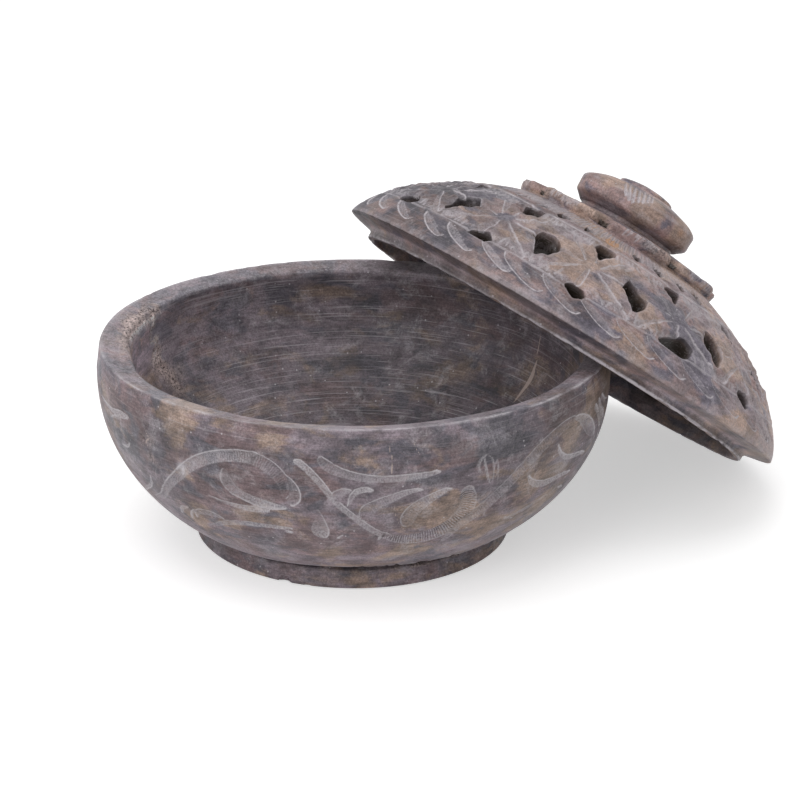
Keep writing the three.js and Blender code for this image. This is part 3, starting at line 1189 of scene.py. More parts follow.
RIGHT_LEAVES = (
    Stroke(
        (
            (319.7, 29.2, 0.4), (320.6, 27.7, 0.8), (322.4, 26.3, 1.0), (324.6, 25.3, 1.1),
            (328.2, 24.6, 1.0), (331.4, 24.2, 0.9), (333.8, 23.5, 0.5),
        ),
        depth=0.35, powder=(0.8, 1.0), edge=(1.1, 1.2),
    ),
    Stroke(
        (
            (311.2, 24.8, 0.5), (312.4, 23.5, 1.1), (314.6, 22.3, 1.5), (317.4, 21.6, 1.6),
            (321.0, 21.4, 1.3), (324.6, 21.4, 1.1), (328.4, 21.0, 0.6),
        ),
        depth=0.4, powder=(0.7, 1.0), edge=(1.1, 1.2),
    ),
    Stroke(
        ((308.4, 15.6, 0.4), (312.6, 16.1, 0.9), (317.0, 16.9, 0.9), (321.4, 17.6, 0.5)), depth=0.25,
        powder=(0.6, 0.3),
    ),
    Stroke(((325.8, 18.2, 0.4), (327.6, 17.8, 0.8), (328.8, 17.3, 0.4)), depth=0.2, powder=(0.9, 0.9)),
    Stroke(((308.2, 15.9, 0.6), (311.2, 14.9, 0.6)), depth=0.2, powder=(0.8, 0.4)),
    Stroke(
        ((337.8, 33.4, 0.7), (339.8, 31.0, 2.2), (342.4, 28.4, 2.5), (345.0, 26.2, 1.2)),
        depth=0.45, powder=(0.8, 0.8), edge=(1.0, 1.0), chatter=0.1,
    ),
)
LEFT_LEAVES = (
    Stroke(
        ((195.0, 31.6, 0.4), (202.4, 31.4, 0.8), (205.4, 31.6, 1.2), (208.8, 32.1, 1.5), (211.8, 32.4, 0.9)),
        depth=0.35, powder=(0.7, 0.9), edge=(0.9, 0.9),
    ),
    Stroke(((202.4, 29.6, 0.4), (204.8, 30.5, 0.6), (208.4, 31.0, 0.6)), depth=0.2, powder=(0.5, 0.6)),
    Stroke(
        ((217.4, 21.8, 0.3), (216.2, 19.9, 0.7), (213.8, 18.3, 0.8), (208.8, 16.2, 0.8), (204.0, 14.1, 0.5)),
        depth=0.25, powder=(0.8, 0.6), edge=(0.9, 0.8),
    ),
    Stroke(((211.2, 26.9, 0.4), (209.6, 25.8, 0.6), (206.4, 25.2, 0.4)), depth=0.2, powder=(0.7, 0.5)),
)
# Hairline veins: azimuth, height and width.
OUTER_VEINS = (
    Stroke(
        (
            (277.0, 37.4, 0.06), (277.3, 35.2, 0.1), (277.9, 33.2, 0.16), (277.7, 31.4, 0.16),
            (277.9, 30.2, 0.1),
        ),
        depth=0,
    ),
    Stroke(
        (
            (278.2, 25.2, 0.02), (278.7, 22.6, 0.08), (279.9, 19.6, 0.08), (282.3, 16.6, 0.14),
            (283.6, 15.2, 0.1),
        ),
        depth=0,
    ),
    Stroke(((282.2, 36.6, 0.02), (282.8, 35.2, 0.08), (283.6, 34.0, 0.04)), depth=0),
    Stroke(((219.2, 31.6, 0.1), (220.2, 30.4, 0.3), (219.0, 29.6, 0.2), (219.8, 28.2, 0.1)), depth=0),
)
INNER_VEINS = (
    Stroke(
        (
            (32.0, 36.6, 0.1), (31.4, 33.0, 0.16), (31.8, 29.0, 0.2), (31.0, 25.6, 0.5), (30.4, 22.6, 1.1),
            (31.0, 19.4, 0.6), (31.6, 16.2, 0.2),
        ),
        depth=0,
    ),
)
# Places of the wall and the rim's slope, in azimuth and height. The rim's patches from 105 to 185 are lighter
# towards the left: partly paler stone and partly painted light.
BOWL_PATCHES = (
    Patch(228.0, 36.6, 3.8, 0.6, 0.0, 0.16), Patch(216.0, 36.6, 4.0, 0.2, 0.6, 0.1),
    Patch(241.0, 37.4, 3.0, 0.6, 0.0, 0.12), Patch(252.0, 37.2, 3.0, 0.5, 0.3, 0.08),
    Patch(263.0, 13.6, 6.0, 0.4), Patch(281.0, 11.6, 6.0, 0.4), Patch(283.5, 22.4, 3.2, 0.25),
    Patch(292.0, 20.0, 3.4, 0.35), Patch(315.0, 24.4, 4.2, 0.4), Patch(323.0, 20.0, 4.0, 0.35),
    Patch(306.0, 15.0, 5.0, 0.45), Patch(246.0, 20.0, 3.0, 0.2), Patch(324.0, 28.4, 4.0, 0.4),
    Patch(344.0, 36.0, 5.0, 0.6), Patch(230.0, 15.6, 3.0, 0.3), Patch(236.0, 33.8, 3.0, -0.4),
    Patch(248.0, 13.6, 3.2, -0.6, 0.0, -0.1), Patch(292.0, 35.0, 5.0, -0.45, 0.0, -0.1),
    Patch(303.0, 34.6, 6.0, -0.5, 0.0, -0.12), Patch(265.0, 19.4, 3.0, -0.3), Patch(261.6, 25.0, 2.6, -0.2),
    Patch(275.0, 18.6, 2.6, -0.4), Patch(238.0, 27.8, 3.2, -0.35, 0.2), Patch(279.0, 34.0, 3.6, -0.3),
    Patch(224.0, 31.0, 3.0, -0.25), Patch(322.0, 36.6, 5.0, -0.2, 0.7, -0.15),
    Patch(185.0, 39.0, 9.0, -0.2, 0.3, 0.42), Patch(165.0, 39.4, 8.0, -0.2, 0.2, 0.36),
    Patch(148.0, 39.4, 7.0, -0.3, 0.0, 0.2), Patch(128.0, 39.4, 9.0, -0.35, 0.0, 0.05),
    Patch(105.0, 39.4, 9.0, -0.2, 0.2, -0.05), Patch(200.0, 35.0, 7.0, -0.15, 0.6, 0.1),
    Patch(212.0, 33.0, 6.0, -0.1, 0.5, 0.05), Patch(244.0, 26.6, 4.0, -0.2, 0.6, 0.0),
    Patch(232.0, 21.5, 4.0, -0.1, 0.5, 0.02), Patch(262.0, 33.0, 4.0, -0.1, 0.3, 0.12),
    Patch(272.0, 33.0, 5.0, -0.1, 0.3, 0.02), Patch(262.0, 28.0, 3.0, 0.1, 0.3, 0.08),
    Patch(214.0, 31.0, 6.0, 0.0, 0.1, -0.2), Patch(227.0, 32.4, 3.6, 0.1, 0.1, -0.28),
    Patch(320.0, 36.6, 5.0, 0.1, 0.2, -0.25), Patch(296.0, 37.4, 3.0, 0.2, 0.0, 0.25),
    Patch(234.0, 37.0, 4.0, 0.5, 0.0, 0.1), Patch(298.0, 28.0, 4.0, 0.3, 0.1, 0.05),
    Patch(336.0, 34.0, 4.0, 0.4, 0.1, 0.0), Patch(326.0, 27.0, 4.0, 0.3, 0.1, 0.0),
    Patch(284.0, 19.0, 3.0, 0.35),
)


@dataclass
class Bowl:
    """The turned bowl: a carved wall on a low foot, with a plain rim and a turned well."""

    foot_radius: float = 32.4
    foot_top_radius: float = 31.55
    foot_height: float = 3.4
    groove_radius: float = 30.7
    waist_radius: float = 34.8
    waist_height: float = 5.3
    belly_radius: float = 50.5
    belly_height: float = 34.5
    fullness: float = 2.25
    rim_radius: float = 50.0
    rim_height: float = 39.2
    rim_width: float = 4.9
    rim_drop: float = 1.0
    rim_face: float = 5.2
    wall_girth: float = 49.0
    well_girth: float = 43.0
    well_radius: float = 24.0
    floor_height: float = 9.5
    floor_dish: float = 0.8
    outer_columns: int = 840

    @property
    def outside(self) -> Swell:
        """The outer wall's curve."""
        return Swell(
            self.belly_radius, self.belly_height, self.waist_radius, self.waist_height, self.fullness
        )

    @property
    def inside(self) -> Swell:
        """The well's curve."""
        inner = self.rim_radius - self.rim_width
        return Swell(inner, self.belly_height, self.well_radius, self.floor_height, self.fullness)

    def courses(self) -> list[Course]:
        """The profile from the underside's centre, up the outer wall and down the well to its centre."""
        half, quarter = self.outer_columns // 2, self.outer_columns // 4
        inner = self.rim_radius - self.rim_width
        wall = self.outside.points(self.waist_height + 0.15, self.belly_height, 24)
        groove = [
            (self.groove_radius, self.foot_height + 0.5), (self.groove_radius, 4.7),
            (self.waist_radius - 0.35, 5.12),
        ]
        return [
            Course([(0, 0), (10, 0), (20, 0), (28, 0)], 6, quarter),
            Course(
                [(self.foot_radius, 0), (self.foot_top_radius, self.foot_height), *groove], 0.4, half, 0.16
            ),
            Course([*wall, (self.rim_radius, self.rim_height - 0.5)], 0.53, self.outer_columns),
            Course(
                [(self.rim_radius - 0.1, self.rim_height), (inner, self.rim_height - self.rim_drop)], 0.55,
                half, 0.6,
            ),
            Course(
                [
                    (inner, self.belly_height),
                    *self.inside.points(self.belly_height, self.floor_height, 24)[1:],
                ],
                0.8, half, 0.4,
            ),
            Course(
                [
                    (18, self.floor_height - 0.2), (9, self.floor_height - 0.6),
                    (0, self.floor_height - self.floor_dish),
                ],
                2.6, quarter,
            ),
        ]

    def strokes(self) -> list[Stroke]:
        """Every cut of the scroll round the wall; the unseen back repeats the front's motif."""
        made = [*SCROLL, *TROUGH, *LOW_LEAVES, *TIPS, *FRONT_BUD, *RIGHT_STEM, *RIGHT_LEAVES, *LEFT_LEAVES]
        repeats = (
            (326.0, 0.93, TROUGH),
            (38.0, 0.91, (*SCROLL, *TROUGH, *LOW_LEAVES)),
            (109.0, 0.91, (*SCROLL, *TROUGH, *LOW_LEAVES)),
            (180.0, 0.9, SCROLL[:3]),
        )
        for centre, stretch, cuts in repeats:
            made += [cut.moved(MOTIF_CENTRE, centre, stretch) for cut in cuts]
        return made

    def build(self, effects: Effects, finish: StoneFinish) -> bpy.types.Object:
        """Makes the bowl.

        Args:
            effects: the shared node groups.
            finish: the bowl's stone.

        Returns:
            The finished piece, riding on its body.
        """
        skin = TurnedSkin(self.courses())
        rim = int(np.argmax(skin.path[:, 1]))
        on_wall = (skin.row < skin.rows[rim]) & (skin.height > self.waist_height)
        row = np.where(on_wall, skin.row, OFF_THE_CUTS)
        girth = lambda height: np.full_like(height, self.wall_girth)
        up_wall = lambda height: np.interp(height, skin.path[: rim + 1, 1], skin.rows[: rim + 1])
        marks = Carving(self.strokes(), up_wall, girth).at(skin.azimuth, row)
        veins = Carving(OUTER_VEINS, up_wall, girth).at(skin.azimuth, row).edge
        down_well = lambda height: np.interp(-height, -skin.path[rim + 4 :, 1], skin.rows[rim + 4 :])
        in_well = np.where(skin.row > skin.rows[rim], skin.row, OFF_THE_CUTS)
        well_girth = lambda height: np.full_like(height, self.well_girth)
        wells = Carving(INNER_VEINS, down_well, well_girth).at(skin.azimuth, in_well).edge
        shading_wear_and_crust = self._shading_wear_and_crust(skin, rim)
        near_rim = 0.4 * smooth_step(32, 36, skin.height) * (skin.row < skin.rows[rim])
        film = np.stack([self._dust(skin, rim), np.minimum(veins, wells), shading_wear_and_crust[:, 0] + near_rim], axis=1)
        hues = self._hues(skin, rim)
        skin.press(marks.depth + self._unevenness(skin, shading_wear_and_crust, rim))
        self._shape_foot(skin)
        mesh = skin.mesh("bowl_stone_body")
        pole = np.zeros((2, 3))
        keep_marks(mesh, Mark.CUT, np.concatenate([marks.lines(), pole + (Carving.FAR, 0, 0)]))
        keep_marks(mesh, Mark.TONE, np.concatenate([marks.tone, pole]))
        keep_marks(mesh, Mark.SHADING_WEAR_AND_CRUST, np.concatenate([shading_wear_and_crust, [[0, 0, 0], [1, 0, 0]]]))
        keep_marks(mesh, Mark.FILM, np.concatenate([film, pole + (0, Carving.FAR, 0)]))
        keep_marks(mesh, Mark.HUE, np.concatenate([hues, pole]))
        mesh.shade_smooth()
        mesh.set_sharp_from_angle(angle=math.radians(60))
        mesh.materials.append(finish.material(effects))
        piece = show("carved_bowl", mesh)
        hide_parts("bowl")
        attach(piece, Body.BOWL.value)
        return piece

    def _hues(self, skin: TurnedSkin, rim: int) -> Array:
        """How warm, rosy and light each place of the bowl is, with its painted light and shade."""

        def spot(patch: Patch) -> Vector:
            """The middle of a patch on the wall or on the rim's slope."""
            up_slope = max(patch.level - 38, 0)
            radius = self.outside.radius_at(min(patch.level, self.belly_height)) - up_slope * 2
            turn = math.radians(patch.azimuth)
            return Vector((radius * math.cos(turn), radius * math.sin(turn), patch.level))

        points = skin.points()
        from_rim = skin.row - skin.rows[rim]
        outer, inner = (from_rim < self.rim_face)[:, None], (from_rim >= self.rim_face)[:, None]
        hues = hues_at(points, BOWL_PATCHES, spot) * outer
        # Painted shade on the foot's top and in the groove under the waist.
        under_lip_shade = smooth_step(2.7, 3.7, skin.height) * (skin.height < 5.2) * (from_rim < 0)
        hues[:, 2] -= 0.35 * under_lip_shade * (0.8 + 0.2 * Wobble(7, 4).at(points))
        on_wall = (from_rim < 0) & (skin.height > 5.2)
        # Painted light and shade by height on the outer wall: lighter low down, where the wall faces the
        # floor, a little darker below the rim, lighter again at the rim.
        hues[:, 2] += np.interp(
            skin.height, (8, 10, 13, 16, 22, 28, 34, 39), (0.5, 0.4, 0.14, 0.05, -0.02, -0.05, -0.12, 0.06)
        ) * on_wall
        # Painted shade on the right side of the wall.
        hues[:, 2] -= 0.07 * smooth_step(300, 320, skin.azimuth) * on_wall
        # Painted light on the rim's upper face at the front.
        hues[:, 2] += 0.14 * hump(turn_between(skin.azimuth, 262), 40) * smooth_step(
            -0.3, 0.8, from_rim
        ) * smooth_step(5.6, 4.6, from_rim)
        hues[:, 0] += 0.04 * smooth_step(282, 308, skin.azimuth) * on_wall
        # Painted shade over the whole well and deep down on the right; lighter on the left and at the back.
        left = 3.0 * hump(turn_between(skin.azimuth, 168), 20) * smooth_step(24, 9, from_rim)
        back = 0.7 * hump(turn_between(skin.azimuth, 138), 25) * (
            0.35 + 0.65 * smooth_step(28, 16, from_rim)
        )
        right = -0.2 * smooth_step(20, 26, from_rim) * smooth_step(112, 96, skin.azimuth)
        painted_deep_shading = np.stack([-0.1 * back, np.zeros_like(back), 0.75 * (left + back + right) - 0.24], axis=1)
        return hues + painted_deep_shading * inner

    def _shape_foot(self, skin: TurnedSkin) -> None:
        """Makes the foot a little out of round, as the lathe's hand-held tool left it."""
        across, back = np.cos(np.radians(skin.azimuth)), np.sin(np.radians(skin.azimuth))
        inward = (1.05 + 0.3 * across) * across**2 - 0.5 * np.clip(-back, 0, 1) ** 3
        zone = smooth_step(28.5, 31, skin.radius) * smooth_step(5.0, 4.5, skin.height)
        skin.radius = skin.radius - inward * zone

    def _dust(self, skin: TurnedSkin, rim: int) -> Array:
        """How dusty each place is: the rim's upper face, the shade under the rim, and round the cuts."""
        from_rim = skin.row - skin.rows[rim]
        face = smooth_step(-0.3, 0.6, from_rim) * smooth_step(5.6, 4.6, from_rim)
        ledge = hump(skin.height - self.waist_height - 0.3, 0.5) * (skin.radius > self.waist_radius - 0.6)
        haze = 0.35 * hump(turn_between(skin.azimuth, 138), 26) * smooth_step(5.6, 7.5, from_rim)
        specks = 0.8 * np.exp(
            -((turn_between(skin.azimuth, 299) / 8) ** 2) - ((skin.height - 35.2) / 2.4) ** 2
        ) * (from_rim < 0)
        return np.clip(0.62 * face + 0.5 * ledge + haze + specks, 0, 1)

    def _shading_wear_and_crust(self, skin: TurnedSkin, rim: int) -> Array:
        """How much each point gets the well's painted shade, how pale its edges are from wear and painted
        highlights, and how crusted it is.

        Args:
            skin: the bowl's rings.
            rim: the ring at the rim's highest place.

        Returns:
            Three values for each point.
        """
        from_rim = skin.row - skin.rows[rim]
        # The well gets a painted shade.
        within = smooth_step(4.8, 5.8, from_rim)
        points = skin.points()
        jitter = Wobble(5, 6).at(points)
        fine = Wobble(6, 2.4).at(points)
        # Painted highlights along the rim's edge and along the waist's edge, partly worn pale.
        rim_edge_highlight = hump(from_rim - 0.1, 0.34) * (0.75 + 0.3 * jitter)
        waist_edge_highlight = hump(skin.height - self.waist_height, 0.28) * (skin.radius > self.waist_radius - 0.5)
        nick_turn = np.radians(turn_between(skin.azimuth, 229.8)) * self.wall_girth
        nick = np.exp(-((nick_turn / 0.7) ** 2) - ((skin.height - 26.4 - 0.4 * nick_turn) / 1.3) ** 2) * (
            from_rim < 0
        )
        worn = np.clip(rim_edge_highlight + waist_edge_highlight * (0.9 + 0.3 * jitter) + 1.5 * nick, 0, 3)
        turn = skin.azimuth + 1.2 * fine
        start = 2.5 + 1.5 * smooth_step(168, 186, turn) + 0.35 * fine
        lip = smooth_step(start - 0.4, start + 0.4, from_rim) * smooth_step(7.2, 5.4, from_rim)
        lip = lip * smooth_step(149.5, 154.5, turn) * smooth_step(191, 184, turn)
        line = 156.5 - 6.0 * smooth_step(13, 25, from_rim) + 0.9 * np.sin(from_rim * 0.9)
        broad = 1.5 + 2.9 * hump(from_rim - 18.5, 3.8)
        fissure = hump(turn - line, broad) * smooth_step(5.0, 6.0, from_rim) * smooth_step(27, 24, from_rim)
        crust = np.clip((lip + fissure * 1.2) * (0.9 + 0.15 * jitter + 0.25 * fine), 0, 1) * (from_rim > 0.5)
        foot_crust = (skin.height < 5.2) * (skin.height > 3.0) * smooth_step(
            60, 25, np.abs(turn_between(skin.azimuth, 320))
        )
        side_crust = 0.5 * hump(turn_between(skin.azimuth, 219.5), 2.4) * smooth_step(
            32.5, 30.5, skin.height
        )
        side_crust = side_crust * smooth_step(24.5, 26.5, skin.height) * (from_rim < 0)
        crust = np.maximum(crust, np.clip(foot_crust * (0.5 + 0.45 * fine), 0, 0.9))
        return np.stack(
            [within, worn, np.maximum(crust, np.clip(side_crust * (0.7 + 0.5 * fine), 0, 0.55))], axis=1
        )

    def _unevenness(self, skin: TurnedSkin, shading_wear_and_crust: Array, rim: int) -> Array:
        """How far hand work, chips and crust move each point into the stone.

        Args:
            skin: the bowl's rings.
            shading_wear_and_crust: the values for the finish.
            rim: the ring at the rim's highest place.

        Returns:
            The depth at each point.
        """
        points = skin.points()
        from_rim = skin.row - skin.rows[rim]
        above_floor = smooth_step(0.0, 1.5, skin.height)
        soft = 0.06 * Wobble(11, 24).at(points) * above_floor
        crumbled = np.clip(
            0.4 + 0.35 * Wobble(12, 2.4).at(points) + 0.25 * Wobble(13, 1.3).at(points), 0, 1.2
        )
        crust = shading_wear_and_crust[:, 2] * crumbled * np.where(skin.height < 6, 0.25, 0.5)
        crusted = 0.8 * hump(turn_between(skin.azimuth, 163), 15) * smooth_step(4.6, 6.6, from_rim)
        plain = 1.4 * hump(turn_between(skin.azimuth, 190), 13) * smooth_step(3.8, 5.6, from_rim)
        thick = (crusted + plain) * smooth_step(25, 10, from_rim)
        bottom = smooth_step(1.5, 0.2, skin.height) * (skin.radius > self.foot_radius - 2.5)
        chip_place = hump(turn_between(skin.azimuth, 245.9), 1.7, 4)
        nicks = smooth_step(1.3, 2.2, Wobble(14, 5).at(points))
        chips = bottom * (0.75 * chip_place + 0.3 * nicks)
        waist = hump(skin.height - self.waist_height, 0.5) * (skin.radius > self.groove_radius + 1)
        ragged = smooth_step(60, 20, np.abs(turn_between(skin.azimuth, 318)))
        torn = waist * ragged * 0.45 * np.clip(Wobble(15, 2.0).at(points), 0, 2)
        rim_nicks = 0.12 * np.clip(Wobble(16, 4).at(points) - 0.7, 0, 2) * hump(from_rim, 0.6)
        worn_corner = 0.9 * hump(turn_between(skin.azimuth, 343), 7.5, 4) * hump(from_rim, 2.2)
        return soft + crust + chips + torn + rim_nicks + worn_corner - thick


@dataclass(frozen=True)
class Hole:
    """A piercing: where it stands, and its corners across and up the slope, anticlockwise from outside."""

    azimuth: float
    radius: float
    corners: tuple[tuple[float, float], ...]

    def outline(self) -> Array:
        """The hole's outline in its own plane, its corners slightly rounded."""
        corners = np.array(self.corners)
        for share in (0.16, 0.24):
            after = np.roll(corners, -1, axis=0)
            ends = np.stack(
                [(1 - share) * corners + share * after, share * corners + (1 - share) * after], axis=1
            )
            corners = ends.reshape(-1, 2)
        return corners

    def distance(self, across: Array, up: Array) -> Array:
        """The signed distance from points in the hole's plane to its outline, negative within.

        Args:
            across: place along the azimuth, in millimetres from the hole's centre.
            up: place up the slope.

        Returns:
            The distances.
        """
        start = self.outline()
        end = np.roll(start, -1, axis=0)
        span = end - start
        place = np.stack([across, up], axis=1)
        offset = place[:, None] - start[None]
        share = np.clip((offset * span).sum(axis=2) / (span**2).sum(axis=1), 0, 1)
        gap = np.linalg.norm(offset - share[..., None] * span, axis=2).min(axis=1)
        rises = (start[None, :, 1] > up[:, None]) != (end[None, :, 1] > up[:, None])
        slope = np.where(np.abs(span[:, 1]) < 1e-9, 1e-9, span[:, 1])
        meets = start[:, 0] + (up[:, None] - start[:, 1]) * span[:, 0] / slope
        within = (rises & (across[:, None] < meets)).sum(axis=1) % 2 == 1
        return np.where(within, -gap, gap)


# Shapes of the piercings, and which of them stands at each of the twelve places.
WINDOWS = (
    ((0.3, -4.4), (3.1, 0.1), (1.5, 3.7), (-1.9, 4.1), (-2.8, 1.7), (-1.3, -1.2)),
    ((0.1, -4.6), (2.3, -1.2), (2.4, 1.2), (0.6, 1.9), (-0.5, 3.6), (-1.9, 4.5), (-2.9, 1.5), (-2.0, 0.1)),
    ((-0.2, -4.6), (0.5, -2.5), (3.2, 0.4), (0.9, 2.7), (-1.2, 2.9), (-3.0, 1.1), (-1.9, -0.8), (-1.4, -3.7)),
    ((0.2, -4.3), (2.6, -0.4), (1.9, 2.9), (-1.4, 4.0), (-2.7, 1.0)),
)
WINDOW_ORDER = (1, 3, 0, 3, 2, 0, 3, 1, 0, 3, 2, 0)
LOWER_HOLES = (
    ((0.4, -1.9), (2.2, -0.4), (1.0, 1.3), (-1.4, 1.3), (-2.4, 0.1), (-0.6, -1.4)),
    ((1.1, -1.2), (2.4, 0.0), (0.4, 1.6), (-1.6, 0.9), (-3.0, -1.0)),
    ((1.1, -1.4), (2.4, -0.6), (3.3, 2.0), (1.4, 3.1), (-1.0, 1.5), (-3.8, -0.3), (-3.4, -1.1)),
)
LOWER_ORDER = (0, 2, 0, 1, 0, 1, 0, 0, 1, 0, 1, 1)
UPPER_HOLES = (
    ((-0.1, -3.9), (2.1, 1.2), (1.6, 3.1), (-1.4, 3.0), (-2.3, 0.9)),
    ((-0.3, -3.0), (1.3, 0.8), (2.1, 3.1), (-1.2, 2.9), (-2.4, 1.7)),
    ((0.2, -3.2), (1.9, 0.6), (1.2, 3.0), (-1.8, 2.6), (-1.6, 0.4)),
)
# Places of the knob and the petals, in azimuth and height.
KNOB_PATCHES = (
    Patch(113.5, 30.5, 1.4, -0.5, -0.1, -0.06), Patch(124.0, 29.8, 1.1, -0.5, -0.1, -0.04),
    Patch(152.0, 31.0, 3.0, 1.2, 0.5, 0.02), Patch(170.5, 30.3, 1.5, -0.45, 0.0, -0.14),
    Patch(190.0, 30.3, 2.4, 1.6, 0.5, -0.1), Patch(104.0, 32.0, 3.4, 0.9, 0.2),
    Patch(90.0, 31.0, 4.0, -0.3, 0.4, 0.05), Patch(130.0, 32.6, 3.0, 0.2, 0.0, 0.1),
    Patch(122.0, 23.6, 2.4, 1.4, 0.0, 0.05), Patch(158.0, 23.4, 2.6, -0.8, 0.0, -0.1),
    Patch(175.0, 23.4, 2.4, 1.0),
)
# Orange places of the dome, in azimuth and radius: painted light glowing through the thin stone about the
# collar's holes.
HOT_PATCHES = (
    Patch(138.9, 28.2, 1.75, 3.6, 0.2, 0.1), Patch(163.2, 28.3, 1.2, 1.7), Patch(128.0, 25.0, 1.3, 1.6)
)
COLLAR_HOLES = (
    ((0.0, -1.3), (1.2, 0.3), (0.9, 1.4), (-0.9, 1.3), (-1.2, 0.1)),
    ((-0.2, -1.1), (1.0, -0.3), (1.1, 1.2), (-0.6, 1.4)),
)


@dataclass
class Lid:
    """The pierced lid: a dome with stars and leaves cut in it, a petalled collar and a knob."""

    radius: float = 50.2
    ledge_drop: float = 1.1
    spigot_radius: float = 44.6
    spigot_wall: float = 1.7
    spigot_depth: float = 2.9
    dome_fullness: float = 1.45
    hollow_spring: float = 2.5
    hollow_top: float = 19.6
    hollow_fullness: float = 1.6
    ridge_radius: float = 31.2
    ridge_width: float = 0.9
    groove_depth: float = 0.6
    ring_radius: float = 46.7
    seat_radius: float = 22.4
    seat_height: float = 21.7
    collar_radius: float = 23.1
    collar_top: float = 23.9
    neck_radius: float = 10.7
    knob_radius: float = 13.25
    button_radius: float = 6.1
    petals: int = 8
    petal_phase: float = 129.0
    star_phase: float = 138.3
    drift: float = 2.2
    columns: int = 900
    lean: float = 36.9
    lean_azimuth: float = 30.8
    centre: tuple[float, float, float] = (42.269, 25.198, 30.341)

    def __post_init__(self) -> None:
        """Works out the dome's and the hollow's curves."""
        self.dome = Swell(self.radius, 0, self.seat_radius, self.seat_height, self.dome_fullness)
        self.hollow = Swell(
            self.spigot_radius - self.spigot_wall, self.hollow_spring, 0, self.hollow_top,
            self.hollow_fullness,
        )

    def pose(self) -> Matrix:
        """Where the leaning lid stands, from its own frame to the row's, in metres."""
        turn = Matrix.Rotation(math.radians(self.lean_azimuth + 90), 4, "Z")
        tip = Matrix.Rotation(math.radians(self.lean), 4, "X")
        return Matrix.Translation(Vector(self.centre) * MM) @ turn @ tip

    def carved(self, turn: float) -> float:
        """The azimuth of a share of a turn round the pattern, which closes up a little at its phase."""
        return self.star_phase + 360 * turn - self.drift * math.sin(2 * math.pi * turn)

    def courses(self) -> list[Course]:
        """The profile from the hollow's crown, round the sharp edge and over the dome to the knob's top."""
        half, quarter = self.columns // 2, self.columns // 4
        inner = self.spigot_radius - self.spigot_wall
        heights = np.linspace(self.hollow_top, self.hollow_spring, 20)
        hollow = [(self.hollow.radius_at(height), height) for height in heights]
        ridge = self.dome.height_at(self.ridge_radius)
        groove = self.ridge_radius - self.ridge_width
        back = groove - self.ridge_width
        rise = self.dome.points(0, ridge, 24)
        behind = self.dome.points(self.dome.height_at(back), self.seat_height, 6)
        spigot = [
            (self.spigot_radius, -self.spigot_depth), (self.spigot_radius, -1.7), (45.3, -1.0),
            (46.6, -0.75),
        ]
        return [
            Course(hollow, 2.0, quarter),
            Course([(inner, 0), (inner, -self.spigot_depth)], 1.5, quarter),
            Course([*spigot, (self.radius - 0.8, -0.2)], 0.5, half, 0.22),
            Course(rise, 0.45, self.columns, 0.12),
            Course(
                [
                    (groove, self.dome.height_at(groove) + 0.1),
                    (groove, self.dome.height_at(groove) - self.groove_depth), *behind,
                ],
                0.62, self.columns, 0.2,
            ),
            Course(
                [
                    (self.collar_radius - 0.2, self.seat_height + 0.75),
                    (self.collar_radius, self.collar_top), (20.6, 24.35),
                ],
                0.34, self.columns, 0.35,
            ),
            Course(
                [(16, 25.05), (self.neck_radius, 25.8), (self.neck_radius, 26.7), (11.25, 26.7)], 1.2, half
            ),
            Course([(self.knob_radius, 28.3), (self.knob_radius, 31.4)], 0.7, half, 0.5),
            Course(self._crown(), 0.36, half),
            Course(
                [(self.button_radius, 34.8), (5.4, 35.15), (4.2, 35.45), (2.4, 35.7), (0, 35.8)], 0.6,
                quarter,
            ),
        ]

    def _crown(self) -> list[tuple[float, float]]:
        """The knob's crown from its band in to the button."""
        crown = Swell(self.knob_radius, 31.4, self.button_radius, 34.3, 1.5)
        return crown.points(31.4, 34.3, 8)

    def holes(self) -> list[Hole]:
        """Every piercing: windows between stars, holes above and below each star, and the collar's ring."""
        draw = np.random.default_rng(31)

        def cut(azimuth: float, radius: float, corners: tuple, size: float) -> Hole:
            """One piercing, stretched a little differently each time."""
            stretch = draw.uniform(0.95, 1.05, 2) * size
            shape = tuple((x * stretch[0], y * stretch[1]) for x, y in corners)
            return Hole(azimuth, radius, shape)

        lower = {
            0: (-0.3, 46.5, 1.12), 1: (0.0, 45.6, 1.3), 2: (-2.5, 46.4, 1.25), 10: (0.5, 45.9, 1.25),
            11: (1.2, 46.2, 1.15),
        }
        made = []
        for i in range(12):
            star, between = self.carved(i / 12), self.carved((i + 0.5) / 12)
            made.append(cut(star + (0.7, 0, 0)[i % 3], 34.0, UPPER_HOLES[i % 3], 1.2 if i == 11 else 1.06))
            shift, radius, size = lower.get(i, (0.0, 46.4, 1.12))
            made.append(cut(star + shift, radius, LOWER_HOLES[LOWER_ORDER[i]], size))
            made.append(cut(between, 41.2, WINDOWS[WINDOW_ORDER[i]], 1.1))
        for i in range(1, 30):
            made.append(cut(self.carved(i / 30) + 0.6, 28.1, COLLAR_HOLES[i % 2], draw.uniform(1.1, 1.6)))
        return made

